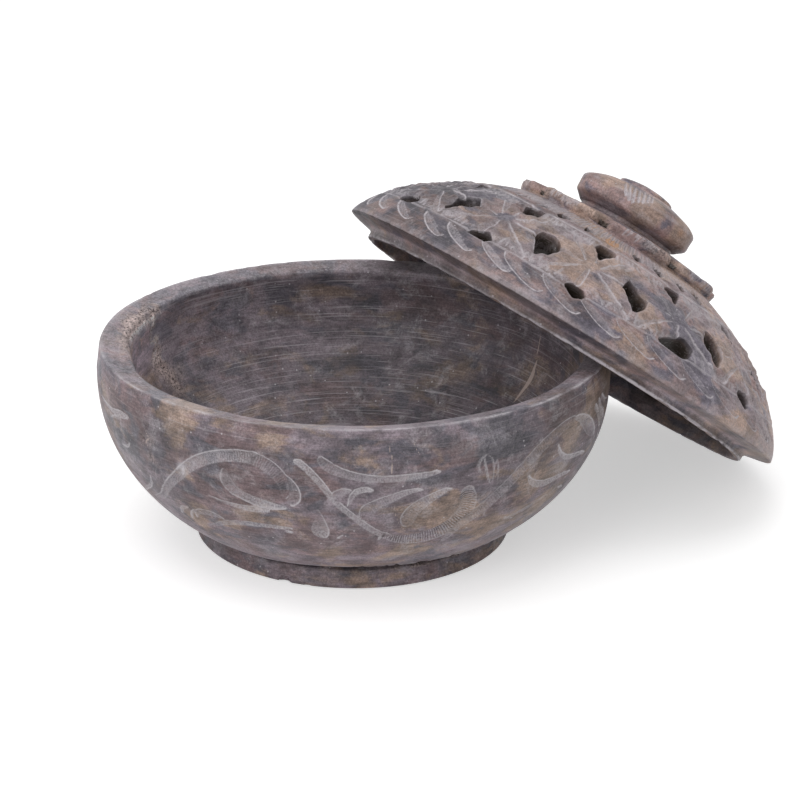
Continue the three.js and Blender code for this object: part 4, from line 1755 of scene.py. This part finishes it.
    def strokes(self) -> list[Stroke]:
        """Every cut on the dome, in azimuth and radius: star rays, border leaves, ribs and the ring line."""
        draw = np.random.default_rng(32)
        made = []
        for i in range(12):
            made += self._star(self.carved(i / 12), draw)
        hooks = [70, 80, 91.4, 103.2, 112.2, 123.0, 131.5, 141.2, 151.6, 161.0, 170.4, 180, 190.6]
        hooks += [190.6 + 9.97 * k for k in range(1, 24)]
        for hook in hooks:
            made += self._border_leaf(hook, draw)
        for i in range(164):
            azimuth = i * 360 / 164 + draw.uniform(-0.35, 0.35)
            top, foot = 23.3 + draw.uniform(0, 0.4), 29.3 - draw.uniform(0, 0.9)
            rib = ((azimuth, foot, 0.3), (azimuth, 26.4, 0.7), (azimuth + 0.3, top, 0.4))
            made.append(
                Stroke(
                    rib, depth=0.3, lean=0, powder=(draw.uniform(0.1, 0.6), draw.uniform(0.5, 1.0)),
                    edge=(0.6, 0.6),
                )
            )
        made += self._ring_line(draw)
        return made

    def _star(self, azimuth: float, draw: np.random.Generator) -> list[Stroke]:
        """The rays of one star and the chisel marks about its windows.

        Args:
            azimuth: the star's middle.
            draw: the seeded draw for its small irregularities.

        Returns:
            The star's cuts.
        """
        rays = (
            ((-2.8, 39.3, 0.5), (-9.8, 34.1, 1.9), 0.5),
            ((2.4, 39.3, 0.5), (9.8, 34.4, 1.9), 0.5),
            ((-3.4, 40.3, 0.4), (-10.0, 40.0, 1.3), 0.25),
            ((3.2, 40.3, 0.4), (10.0, 40.1, 1.3), 0.3),
            ((-2.7, 41.3, 0.3), (-12.4, 46.0, 1.3), 0.8),
            ((-0.5, 41.5, 0.7), (-0.8, 45.0, 1.5), 0.45),
            ((2.3, 41.2, 0.5), (12.8, 46.1, 1.7), 0.55),
            ((0.0, 39.0, 0.3), (0.2, 37.7, 0.8), 0.3),
        )
        made = []
        for start, end, powder in rays:
            bend = draw.uniform(-0.5, 0.5)
            middle = (
                (start[0] + end[0]) / 2 + bend, (start[1] + end[1]) / 2 + bend * 0.35,
                (start[2] + end[2]) / 2,
            )
            wide = end[2] * draw.uniform(0.85, 1.15)
            way = tuple(
                (azimuth + turn, level, width) for turn, level, width in (start, middle, (*end[:2], wide))
            )
            pale = powder * draw.uniform(0.8, 1.15)
            made.append(Stroke(way, depth=0.5, lean=0.1, powder=(pale * 0.8, pale), edge=(0.9, 1.0)))
        for side in (-1, 1):
            for k in range(6):
                near = azimuth + side * (4.8 + 1.5 * k + draw.uniform(-0.4, 0.4))
                top = 32.0 + draw.uniform(-0.2, 0.4)
                scratch = (
                    (near, top, 0.35),
                    (near + side * draw.uniform(0.2, 1.1), top + draw.uniform(1.3, 2.6), 0.75),
                )
                made.append(Stroke(scratch, depth=0.2, lean=0, powder=(0.7, 0.4), edge=(0.6, 0.3)))
        for k in range(11):
            near = azimuth + 6.5 + 1.75 * k + draw.uniform(-0.7, 0.7)
            low = 46.4 - draw.uniform(0, 0.4)
            scratch = ((near, low, 0.35), (near + draw.uniform(-1.4, 1.0), low - draw.uniform(0.8, 1.9), 0.6))
            made.append(Stroke(scratch, depth=0.17, lean=0, powder=(0.75, 0.45), edge=(0.5, 0.3)))
        return made

    @staticmethod
    def _border_leaf(hook: float, draw: np.random.Generator) -> list[Stroke]:
        """One hooked leaf of the border, with the finer line inside it.

        Args:
            hook: azimuth of its hooked end.
            draw: the seeded draw for its small irregularities.

        Returns:
            The cuts.
        """
        size = draw.uniform(0.9, 1.08)
        fall = draw.uniform(-0.12, 0.12)
        shape = (
            (-11.6, 46.95, 0.5), (-10.4, 47.5, 1.0), (-8.0, 48.1, 1.4), (-5.0, 48.7, 1.35),
            (-2.2, 49.1, 1.0), (-0.8, 49.2, 0.7), (0.1, 49.0, 0.45),
        )
        way = tuple(
            (hook + turn * size, radius + fall, width * draw.uniform(0.92, 1.08))
            for turn, radius, width in shape
        )
        pale = draw.uniform(0.15, 0.3) + (0.25 if hook < 126 else 0.0)
        leaf = Stroke(way, depth=0.5, lean=-0.35, powder=(pale, pale), edge=(1.2, 1.5), lit=-1.0)
        inner = (
            (hook - 8.6 * size, 47.4, 0.25), (hook - 6.2 * size, 48.0, 0.45),
            (hook - 3.6 * size, 48.4, 0.25),
        )
        return [leaf, Stroke(inner, depth=0.12, lean=0, powder=(0.2, 0.2), edge=(0.2, 0.2))]

    def _ring_line(self, draw: np.random.Generator) -> list[Stroke]:
        """The scored ring between the border and the stars, cut in short overlapping strokes."""
        made = []
        for i in range(36):
            start = i * 10 + draw.uniform(-1, 1)
            radius = self.ring_radius + draw.uniform(-0.12, 0.12)
            way = ((start, radius, 0.3), (start + 5.5, radius + 0.05, 0.5), (start + 10.8, radius, 0.3))
            pale = draw.uniform(0.15, 0.8, 2)
            made.append(Stroke(way, depth=0.2, lean=0, powder=tuple(pale), edge=tuple(0.8 * pale)))
        return made

    def knob_strokes(self) -> list[Stroke]:
        """The short flutes of the knob's crown, in azimuth and distance up from the crown's edge."""
        ends = (
            (112, 4.2, 126, -0.8), (118, 4.6, 130, -1.2), (124, 5.4, 134, -1.3), (131, 4.8, 138, -0.7),
            (137, 5.6, 141.5, -0.2), (144, 5.4, 145, 0.6), (150, 5.4, 148.5, 1.1),
        )
        made = []
        for start, top, end, foot in ends:
            middle = ((start + end) / 2, (top + foot) / 2, 0.55)
            way = ((start, top, 0.25), middle, (end, foot, 0.6))
            made.append(Stroke(way, depth=0.3, lean=0, powder=(0.7, 1.3), edge=(0.4, 0.5)))
        return made

    def petal_strokes(self, row: float) -> list[Stroke]:
        """The file cuts across the petals' edges.

        Args:
            row: the profile distance of the collar's edge.

        Returns:
            The cuts, in azimuth and profile distance.
        """
        draw = np.random.default_rng(33)
        made = []
        for i in range(self.petals):
            middle = self.petal_phase + (i + 0.5) * 45 + draw.uniform(-3, 3)
            for k in range(11):
                azimuth = middle + (k - 5) * 1.9 + draw.uniform(-0.8, 0.8)
                low, wide = draw.uniform(0.5, 1.5), draw.uniform(0.3, 0.95)
                way = (
                    (azimuth - 0.7, row - low, wide * 0.5),
                    (azimuth + draw.uniform(0.1, 0.9), row + 0.5, wide),
                )
                made.append(
                    Stroke(way, depth=draw.uniform(0.1, 0.24), lean=0, powder=(0.6, 1.1), edge=(0.6, 0.8))
                )
        return made

    def patches(self) -> list[Patch]:
        """Warm lozenges in the stars, and cold, warm and dark places of the dome, in azimuth and radius."""
        made = []
        for i in range(12):
            star = self.carved(i / 12)
            warm = {11: 0.2, 0: 0.5, 1: -0.1}.get(i, 0.25)
            for turn, level in (
                (-6.6, 37.6), (6.6, 37.8), (-6.4, 42.6), (7.2, 42.8), (-2.6, 44.2), (3.0, 44.4),
                (-3.4, 36.2), (3.6, 36.2),
            ):
                made.append(Patch(star + turn, level, 2.6, warm, 0.2))
        made += [
            Patch(137, 40.2, 2.0, 0.6), Patch(108.5, 40.2, 1.6, -0.9, 0, -0.15),
            Patch(158, 43.4, 2.8, 0.9, 0.3, 0.05), Patch(166, 40.4, 4.4, -0.95, 0, -0.08),
            Patch(94, 35.4, 6.0, -0.8), Patch(80, 40, 6.0, -0.5, 0, -0.22),
            Patch(84, 44.6, 4.0, -0.1, 0.2, -0.15), Patch(174, 43.5, 4.0, -0.7, 0, -0.05),
            Patch(185, 41.4, 4.0, 0.7, 0.3), Patch(158, 49.2, 3.0, 0.5, 0.3),
            Patch(152, 48.6, 2.6, 0.4, 0.3), Patch(193, 48.8, 3.6, 0.6, 0.3), Patch(122, 34.6, 4.0, 0.1),
            Patch(66, 38, 11.0, -0.3, 0, -0.25), Patch(62, 48, 9.0, -0.3, 0, -0.22),
            Patch(84, 48, 6.0, -0.2, 0.1, -0.12), Patch(215, 46, 10.0, 0.0, 0.3, 0.1),
            Patch(150, 33, 10.0, 0.0, 0.3, 0.05),
        ]
        made += [Patch(azimuth, 48.6, 4.2, -0.3, 0.25, -0.12) for azimuth in range(90, 159, 6)]
        made += [Patch(azimuth, 48.6, 3.6, -0.5, 0.1, -0.05) for azimuth in range(165, 189, 6)]
        made += [Patch(azimuth, 26.5, 4.5, 0.15, 0.35, 0.04) for azimuth in range(0, 360, 24)]
        return made

    def build(self, effects: Effects, finish: StoneFinish) -> bpy.types.Object:
        """Makes the lid.

        Args:
            effects: the shared node groups.
            finish: the lid's stone.

        Returns:
            The finished piece, riding on its body.
        """
        skin = TurnedSkin(self.courses())
        edge = int(np.argmax(skin.path[:, 0]))
        path, rows = skin.path[edge:], skin.rows[edge:]
        carvings = self._carvings(path, rows)
        row = np.where(skin.row >= rows[0], skin.row, OFF_THE_CUTS)
        marks = self._marks(carvings, skin.azimuth, row)
        holes = self.holes()
        near_edge = smooth_step(0.0, 0.5, skin.row - rows[0])
        skin.press(marks.depth * near_edge + self._hole_rounding(holes, skin) + self._unevenness(skin))
        self._cut_petals(skin)
        mesh = skin.mesh("lid_stone_body")
        piece = show("pierced_lid", mesh)
        self._pierce(piece, holes)
        self._mark(piece.data, carvings, holes, path, rows)
        piece.data.transform(self.pose())
        piece.data.shade_smooth()
        piece.data.set_sharp_from_angle(angle=math.radians(58))
        piece.data.materials.clear()
        piece.data.materials.append(finish.material(effects))
        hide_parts("lid")
        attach(piece, Body.LID.value)
        return piece

    def _carvings(self, path: Array, rows: Array) -> list[Carving]:
        """The cuts of the dome, of the knob and of the petals, each with its own chart.

        Args:
            path: radius and height along the outside, from the sharp edge up.
            rows: the profile distance of each of those points.

        Returns:
            The carvings.
        """
        seat = int(np.argmax(path[:, 1] > self.seat_height + 0.3))
        band = int(np.argmax(path[:, 1] > 31.3))
        collar = int(np.argmax(path[:, 1] > self.collar_top - 0.1))
        inward = -np.minimum.accumulate(path[:seat, 0])
        dome = Carving(
            self.strokes(), lambda radius: np.interp(-radius, inward, rows[:seat]), lambda radius: radius
        )
        up_knob = lambda level: rows[band] + level
        knob = Carving(
            self.knob_strokes(), up_knob, lambda level: np.interp(up_knob(level), rows, path[:, 0])
        )
        cuts = self.petal_strokes(float(rows[collar]))
        petals = Carving(cuts, lambda row: row, lambda row: np.full_like(row, self.collar_radius))
        return [dome, knob, petals]

    @staticmethod
    def _marks(carvings: list[Carving], azimuth: Array, row: Array) -> CutMarks:
        """The marks of several carvings together.

        Args:
            carvings: the carvings.
            azimuth: degrees round the piece at each point.
            row: profile distance at each point.

        Returns:
            The joined marks.
        """
        joined = carvings[0].at(azimuth, row)
        for carving in carvings[1:]:
            joined = joined.joined(carving.at(azimuth, row))
        return joined

    def _hole_gap(self, hole: Hole, azimuth: Array, radius: Array, height: Array) -> tuple[Array, Array]:
        """The distance to a hole's outline of the points that are near it.

        Args:
            hole: the piercing.
            azimuth: degrees round the lid.
            radius: distance from the axis.
            height: height above the sharp edge's plane.

        Returns:
            Numbers of the near points, and their distances.
        """
        across = np.radians(turn_between(azimuth, hole.azimuth)) * hole.radius
        slope = self._slope(hole.radius)
        up = (radius - hole.radius) * -math.cos(slope) + (
            height - self.dome.height_at(hole.radius)
        ) * math.sin(slope)
        near = np.flatnonzero((np.abs(across) < 6.0) & (np.abs(up) < 7.0))
        return near, hole.distance(across[near], up[near])

    def _slope(self, radius: float) -> float:
        """The dome's slope at a radius, as an angle from level."""
        step = 0.1
        rise = self.dome.height_at(radius - step) - self.dome.height_at(radius + step)
        return math.atan2(rise, 2 * step)

    def _dome_heights(self, radius: Array) -> Array:
        """The dome's height at each radius."""
        share = np.clip(1 - (radius / self.radius) ** 2, 0, 1)
        return self.dome.reach * share ** (1 / self.dome_fullness)

    def _hole_rounding(self, holes: list[Hole], skin: TurnedSkin) -> Array:
        """How far the worn lips of the piercings lie below the dome.

        Args:
            holes: the piercings.
            skin: the lid's rings.

        Returns:
            The depth at each point.
        """
        depth = np.zeros(len(skin.row))
        for hole in holes:
            near, gap = self._hole_gap(hole, skin.azimuth, skin.radius, skin.height)
            depth[near] = np.maximum(depth[near], 0.34 * smooth_step(0.8, -0.1, gap))
        on_dome = (np.abs(self._dome_heights(skin.radius) - skin.height) < 0.45) & (skin.height > -0.01)
        return depth * on_dome

    def _unevenness(self, skin: TurnedSkin) -> Array:
        """How far hand work and small chips move each point into the stone."""
        points = skin.points()
        soft = 0.06 * Wobble(21, 20).at(points)
        edge = hump(skin.radius - self.radius, 0.8) * (np.abs(skin.height) < 0.8)
        nicks = 0.12 * np.clip(Wobble(22, 2.6).at(points) - 0.9, 0, 2) * edge
        ring_foot = hump(skin.height + self.spigot_depth, 0.7)
        torn = ring_foot * 0.24 * np.clip(Wobble(23, 3.4).at(points) - 0.4, 0, 2)
        rim_zone = (np.abs(skin.radius - self.collar_radius) < 1.2) & (
            skin.height > self.seat_height + 0.3
        ) & (skin.height < 24.4)
        picked = rim_zone * (0.05 * Wobble(24, 1.6).at(points) + 0.1 * Wobble(25, 5).at(points))
        star_zone = smooth_step(46.6, 45.8, skin.radius) * smooth_step(31.4, 32.4, skin.radius) * (
            skin.height > 3
        )
        hewn = star_zone * (0.13 * Wobble(27, 3.2).at(points) + 0.09 * Wobble(28, 1.8).at(points))
        knob = (skin.height > 27) * 0.05 * Wobble(29, 7).at(points)
        return soft + nicks + torn + picked + hewn + knob

    def _cut_petals(self, skin: TurnedSkin) -> None:
        """Notches the collar into petals: its edge moves in, and down where a notch is open above."""
        petal = 360 / self.petals
        turn = (skin.azimuth - self.petal_phase + petal / 2) % petal - petal / 2
        gap = np.abs(np.radians(turn)) * self.collar_radius
        on_collar = (skin.height > self.seat_height + 0.25) & (skin.height < 24.6) & (skin.radius > 19.5)
        notch = np.clip(1.12 - gap / 1.9, 0, 1) * on_collar
        lobe = smooth_step(3.4, 1.4, gap) * on_collar * 0.35
        outer = smooth_step(19.8, 22.9, skin.radius)
        over = smooth_step(self.seat_height + 0.5, self.collar_top, skin.height)
        skin.radius = skin.radius - (notch * 2.0 + lobe) * outer
        skin.height = skin.height - (notch * 1.3 + lobe * 0.8) * outer * over

    def _pierce(self, piece: bpy.types.Object, holes: list[Hole]) -> None:
        """Cuts all piercings out of the lid, each square to the dome.

        Args:
            piece: the lid.
            holes: the piercings.
        """
        points: list[Vector] = []
        faces: list[tuple[int, ...]] = []
        for hole in holes:
            turn, slope = math.radians(hole.azimuth), self._slope(hole.radius)
            out = Vector((math.cos(turn), math.sin(turn), 0))
            around = Vector((-math.sin(turn), math.cos(turn), 0))
            up = Vector((0, 0, 1)) * math.sin(slope) - out * math.cos(slope)
            square = around.cross(up)
            place = out * hole.radius + Vector((0, 0, self.dome.height_at(hole.radius)))
            base = len(points)
            outline = hole.outline()
            rings = ((-9.0, 0.86), (-2.2, 0.95), (-1.0, 0.985), (3.0, 1.06))
            for depth, size in rings:
                points += [place + (around * x + up * y) * size + square * depth for x, y in outline]
            count = len(outline)
            top = base + count * (len(rings) - 1)
            faces.append(tuple(base + count - 1 - j for j in range(count)))
            faces.append(tuple(top + j for j in range(count)))
            faces += [
                (low + j, low + (j + 1) % count, low + count + (j + 1) % count, low + count + j)
                for low in range(base, top, count)
                for j in range(count)
            ]
        mesh = bpy.data.meshes.new("piercing_cutters")
        mesh.from_pydata([tuple(point * MM) for point in points], [], faces)
        cutter = show("piercing_cutters", mesh)
        step = piece.modifiers.new("piercings", "BOOLEAN")
        step.operation, step.solver, step.object = "DIFFERENCE", "MANIFOLD", cutter
        depsgraph = bpy.context.evaluated_depsgraph_get()
        pierced = bpy.data.meshes.new_from_object(piece.evaluated_get(depsgraph))
        piece.modifiers.clear()
        old = piece.data
        piece.data = pierced
        pierced.name = "lid_stone_pierced"
        bpy.data.meshes.remove(old)
        bpy.data.objects.remove(cutter)
        bpy.data.meshes.remove(mesh)

    def _mark(
        self, mesh: bpy.types.Mesh, carvings: list[Carving], holes: list[Hole], path: Array, rows: Array
    ) -> None:
        """Writes the marks of the pierced mesh from where its points lie.

        Args:
            mesh: the pierced lid, in its own frame.
            carvings: the cuts.
            holes: the piercings.
            path: radius and height along the outside.
            rows: the profile distance of each of those points.
        """
        points = mesh_points(mesh)
        radius = np.hypot(points[:, 0], points[:, 1])
        azimuth = np.degrees(np.arctan2(points[:, 1], points[:, 0])) % 360
        height = points[:, 2]
        row, below = self._nearest_row(radius, height, path, rows)
        shown = (below < 1.1) & (height > -0.1)
        marks = self._marks(carvings, azimuth, np.where(shown, row, OFF_THE_CUTS))
        # Painted shade in the hollow, darker further in.
        hollow = (0.15 + 0.8 * smooth_step(3.0, 9.0, height)) * (below > 1.2)
        near_hole = np.zeros(len(points))
        outer_band = (height < 0.2) & (radius > self.spigot_radius - 0.4)
        jitter = Wobble(26, 5).at(points)
        lips = np.zeros(len(points))
        for hole in holes:
            near, gap = self._hole_gap(hole, azimuth, radius, height)
            lips[near] = np.maximum(lips[near], hump(np.clip(gap, 0, None), 0.3))
            near_hole[near] = np.maximum(near_hole[near], smooth_step(1.4, 0.5, gap))
        # Painted shade on the piercings' walls and in the hollow, and a lighter painted shade on the band
        # under the sharp edge.
        within = np.maximum(hollow, near_hole * smooth_step(0.1, 1.5, below))
        within = np.where(outer_band, 0.2, within)
        lips *= hump(below, 0.6) * (0.45 + 0.25 * jitter)
        sharp = 0.3 * hump(radius - self.radius, 0.3) * (height > -0.1)
        ridge = 1.2 * hump(radius - self.ridge_radius + 0.05, 0.26) + 0.5 * hump(radius - 33.2, 0.32)
        ridge *= (below < 0.4) * (height < 20) * (0.85 + 0.2 * jitter)
        # Painted highlights along the spigot's bottom edge, strongest about azimuth 172, and along the knob's
        # bevel, partly worn pale.
        bright = 1.1 + 3.2 * hump(turn_between(azimuth, 172), 32)
        spigot_foot_highlight = bright * hump(height + self.spigot_depth, 0.3) * (
            radius > self.spigot_radius - 0.6
        ) * (0.85 + 0.2 * jitter)
        bevel_highlight = (0.45 + 0.25 * jitter) * hump(height - 31.4, 0.32) * (radius > self.knob_radius - 1.2)
        worn = np.clip(np.maximum.reduce([lips, sharp, ridge, spigot_foot_highlight, bevel_highlight]), 0, 3.5)
        collar = smooth_step(1.5, 0.4, np.abs(radius - self.collar_radius + 0.3)) * (
            height > self.seat_height + 0.5
        )
        broken = hump(turn_between(azimuth, self.petal_phase - 3.5), 2.6) * collar
        crust = np.clip(collar * (0.16 + 0.16 * jitter) + broken * 0.3, 0, 0.6)
        keep_marks(mesh, Mark.CUT, marks.lines())
        keep_marks(mesh, Mark.TONE, marks.tone)
        keep_marks(mesh, Mark.SHADING_WEAR_AND_CRUST, np.stack([within, worn, crust], axis=1))
        film = np.stack([self._dust(radius, below), np.full(len(points), Carving.FAR), hollow], axis=1)
        keep_marks(mesh, Mark.FILM, film)
        keep_marks(mesh, Mark.HUE, self._hues(points, radius, below))

    @staticmethod
    def _nearest_row(radius: Array, height: Array, path: Array, rows: Array) -> tuple[Array, Array]:
        """The place on the outer profile that each point is nearest to.

        Args:
            radius: distance from the axis.
            height: height above the sharp edge's plane.
            path: radius and height along the outside.
            rows: the profile distance of each of those points.

        Returns:
            The profile distance there, and how far each point lies from it.
        """
        steps = np.arange(len(path))
        shares = np.linspace(0, len(path) - 1, len(path) * 4)
        fine_rows = np.interp(shares, steps, rows)
        tree = KDTree(len(shares))
        for i, share in enumerate(shares):
            tree.insert((np.interp(share, steps, path[:, 0]), np.interp(share, steps, path[:, 1]), 0), i)
        tree.balance()
        found = [tree.find((r, h, 0)) for r, h in zip(radius, height)]
        return fine_rows[[hit[1] for hit in found]], np.array([hit[2] for hit in found])

    def _dust(self, radius: Array, below: Array) -> Array:
        """How dusty each place of the dome is: along the ring, under the ridge and about the ribs."""
        by_ring = hump(radius - 45.7, 0.8)
        by_ridge = hump(radius - 32.6, 1.5)
        ribs = 0.5 * smooth_step(23.0, 24.5, radius) * smooth_step(30.2, 28.5, radius)
        stars = 0.35 * smooth_step(33, 35, radius) * smooth_step(45, 43, radius)
        return np.maximum.reduce([by_ring, 0.9 * by_ridge, ribs, stars]) * (below < 0.6)

    def _hues(self, points: Array, radius: Array, below: Array) -> Array:
        """How warm, rosy and light each place of the lid is, with its painted light and shade."""

        def spot(patch: Patch) -> Vector:
            """The middle of a patch on the dome."""
            turn = math.radians(patch.azimuth)
            return Vector(
                (patch.level * math.cos(turn), patch.level * math.sin(turn), self.dome.height_at(patch.level))
            )

        def on_top(patch: Patch) -> Vector:
            """The middle of a patch on the knob or on the collar's edge."""
            turn = math.radians(patch.azimuth)
            reach = self.knob_radius if patch.level > 26 else self.collar_radius
            return Vector((reach * math.cos(turn), reach * math.sin(turn), patch.level))

        height = points[:, 2]
        azimuth = np.degrees(np.arctan2(points[:, 1], points[:, 0])) % 360
        hues = np.clip(hues_at(points, self.patches(), spot), -1.0, 1.0) * (below < 1.5)[:, None]
        upper = (radius < 23.6) & (height > self.seat_height + 0.6)
        dome = (radius > 23.6) & (height > -0.1) & (below < 1.5)
        hues[:, 2] += dome * (
            0.14 * smooth_step(150, 190, azimuth) - 0.34 * hump(turn_between(azimuth, 94), 29)
        )
        hues[:, 0] += dome * 0.12 * smooth_step(105, 130, azimuth)
        # Painted light near the mouth of the hollow.
        hues[:, 2] += 0.22 * smooth_step(7, 1, height) * (below > 1.2) * (radius < self.spigot_radius - 1)
        # On the band under the sharp edge: painted light in the corner under the ledge, painted shade lower
        # down the spigot's side, and a little painted shade over all of it.
        band = (height < -0.1) & (radius > self.spigot_radius - 0.4)
        corner = hump(np.hypot(radius - self.spigot_radius - 0.7, height + self.ledge_drop), 1.1)
        hues[:, 2] += band * (0.65 * corner - 0.45 * smooth_step(-0.9, -1.7, height) - 0.13)
        # Painted shade under the knob, where the neck is also less rosy.
        shaded = (radius < 12.4) * (height > 24.6) * smooth_step(28.6, 27.6, height)
        hues[:, 1] += (0.55 - 0.7 * shaded) * upper
        hues[:, 2] += (0.02 - 0.25 * shaded) * upper
        hues += hues_at(points, KNOB_PATCHES, on_top) * upper[:, None]
        return hues + hues_at(points, HOT_PATCHES, spot)


@dataclass(frozen=True)
class Lamp:
    """A soft square lamp: where it stands, its size in metres and its strength."""

    name: str
    place: tuple[float, float, float]
    size: float
    share: float


@dataclass
class Studio:
    """A pale floor, a white surround, soft lamps and the camera."""

    target: tuple[float, float, float] = (0.02, 0.0, 0.03)
    world_share: float = 0.5
    lamps: tuple[Lamp, ...] = (
        Lamp("overhead_lamp", (-0.15, -0.1, 0.9), 0.7, 0.42),
        Lamp("front_lamp", (-0.55, -0.85, 0.6), 0.6, 0.24),
    )
    camera_place: tuple[float, float, float] = (0.0, -0.5246, 0.2247)
    yaw: float = 0.984
    pitch: float = 20.744
    roll: float = 0.479
    focal_pixels: float = 2831.0
    image_pixels: float = 800.0

    def build(self) -> None:
        """Makes the surround, floor, lamps and camera."""
        self._surround()
        self._floor()
        for lamp in self.lamps:
            self._lamp(lamp)
        self._camera()
        bpy.context.scene.view_settings.view_transform = "Standard"

    def _seen(self, tree: Tree) -> bpy.types.NodeSocket:
        """1 for rays that show the surround itself: camera, mirror and glass rays."""
        path = tree.node("ShaderNodeLightPath")
        seen = tree.math("MAXIMUM", path.outputs["Is Camera Ray"], path.outputs["Is Glossy Ray"])
        return tree.math("MAXIMUM", seen, path.outputs["Is Transmission Ray"])

    def _surround(self) -> None:
        """A white world that lights the stone evenly."""
        world = bpy.data.worlds.new("white_surround")
        bpy.context.scene.world = world
        world.use_nodes = True
        world.node_tree.nodes.clear()
        tree = Tree(world.node_tree)
        light = tree.node("ShaderNodeBackground")
        light.inputs["Color"].default_value = (1, 1, 1, 1)
        tree.feed(light.inputs["Strength"], tree.grade(self._seen(tree), 0, 1, self.world_share, 1.0))
        output = tree.node("ShaderNodeOutputWorld")
        tree.feed(output.inputs["Surface"], light.outputs[0])

    def _floor(self) -> None:
        """A wide pale floor that shows white but keeps the object's shadow."""
        half = 6.0
        mesh = bpy.data.meshes.new("studio_floor")
        level = -0.0002
        corners = [(-half, -half, level), (half, -half, level), (half, half, level), (-half, half, level)]
        mesh.from_pydata(corners, [], [(0, 1, 2, 3)])
        material = bpy.data.materials.new("studio_floor_white")
        material.use_nodes = True
        material.node_tree.nodes.clear()
        tree = Tree(material.node_tree)
        matt = tree.node("ShaderNodeBsdfDiffuse")
        matt.inputs["Color"].default_value = (0.8, 0.8, 0.8, 1)
        lift = tree.node("ShaderNodeEmission")
        tree.feed(lift.inputs["Strength"], tree.math("MULTIPLY", self._seen(tree), 0.5))
        both = tree.node("ShaderNodeAddShader")
        tree.feed(both.inputs[0], matt.outputs[0])
        tree.feed(both.inputs[1], lift.outputs[0])
        output = tree.node("ShaderNodeOutputMaterial")
        tree.feed(output.inputs["Surface"], both.outputs[0])
        mesh.materials.append(material)
        show("studio_floor", mesh)

    def _lamp(self, lamp: Lamp) -> None:
        """Makes one lamp, aimed at the object."""
        place = Vector(lamp.place)
        aim = Vector(self.target) - place
        data = bpy.data.lights.new(lamp.name, "AREA")
        data.size = lamp.size
        data.energy = lamp.share * math.pi**2 * aim.length_squared
        made = bpy.data.objects.new(lamp.name, data)
        made.location = place
        made.rotation_euler = aim.to_track_quat("-Z", "Y").to_euler()
        bpy.context.scene.collection.objects.link(made)

    def _camera(self) -> None:
        """Makes the camera at the photograph's angle."""
        yaw, pitch, roll = (math.radians(angle) for angle in (self.yaw, self.pitch, self.roll))
        forward = Vector((math.sin(yaw) * math.cos(pitch), math.cos(yaw) * math.cos(pitch), -math.sin(pitch)))
        level = Vector((math.cos(yaw), -math.sin(yaw), 0))
        rise = level.cross(forward)
        right = level * math.cos(roll) + rise * math.sin(roll)
        up = rise * math.cos(roll) - level * math.sin(roll)
        data = bpy.data.cameras.new("camera")
        data.sensor_width = 36.0
        data.lens = self.focal_pixels / self.image_pixels * data.sensor_width
        data.clip_start = 0.01
        camera = bpy.data.objects.new("camera", data)
        facing = Matrix((right, up, -forward)).transposed().to_4x4()
        camera.matrix_world = Matrix.Translation(Vector(self.camera_place)) @ facing
        bpy.context.scene.collection.objects.link(camera)
        bpy.context.scene.camera = camera


BOWL_STONE = StoneFinish(
    name="mottled_bowl_stone",
    ground=(0.185, 0.151, 0.172),
    tan=(0.26, 0.19, 0.158),
    rose=(0.165, 0.116, 0.122),
    slate=(0.108, 0.098, 0.118),
    powder=(0.62, 0.585, 0.615),
    crust=(0.43, 0.345, 0.33),
    # The colour of the well's painted shade.
    inside=(0.105, 0.096, 0.107),
    tan_amount=0.455,
    slate_amount=0.455,
    inside_shade_share=0.15,
    inner_line_share=0.32,
    outer_line_share=0.08,
    streak_depth=0.2,
)


def lid_stone(frame_matrix: Matrix) -> StoneFinish:
    """The lid's finish, laid in the lid's own frame."""
    return StoneFinish(
        name="mottled_lid_stone",
        ground=(0.24, 0.19, 0.202),
        tan=(0.312, 0.22, 0.182),
        rose=(0.27, 0.185, 0.178),
        slate=(0.125, 0.11, 0.138),
        powder=(0.54, 0.5, 0.53),
        crust=(0.5, 0.38, 0.33),
        # The colour of the painted shade in the hollow and the piercings.
        inside=(0.04, 0.029, 0.022),
        tan_amount=0.46,
        inside_shade_share=1.0,
        slate_amount=0.46,
        streak_depth=0.12,
        frame=frame_matrix,
    )


def main() -> None:
    """Builds the studio, the bowl and the lid, and reports each piece."""
    logging.basicConfig(level=logging.INFO, format="%(message)s")
    Studio().build()
    effects = Effects()
    lid = Lid()
    pieces = (Bowl().build(effects, BOWL_STONE), lid.build(effects, lid_stone(lid.pose())))
    for piece in pieces:
        log.info("%s: %d points, %d faces", piece.name, len(piece.data.vertices), len(piece.data.polygons))


if __name__ == "__main__":
    main()
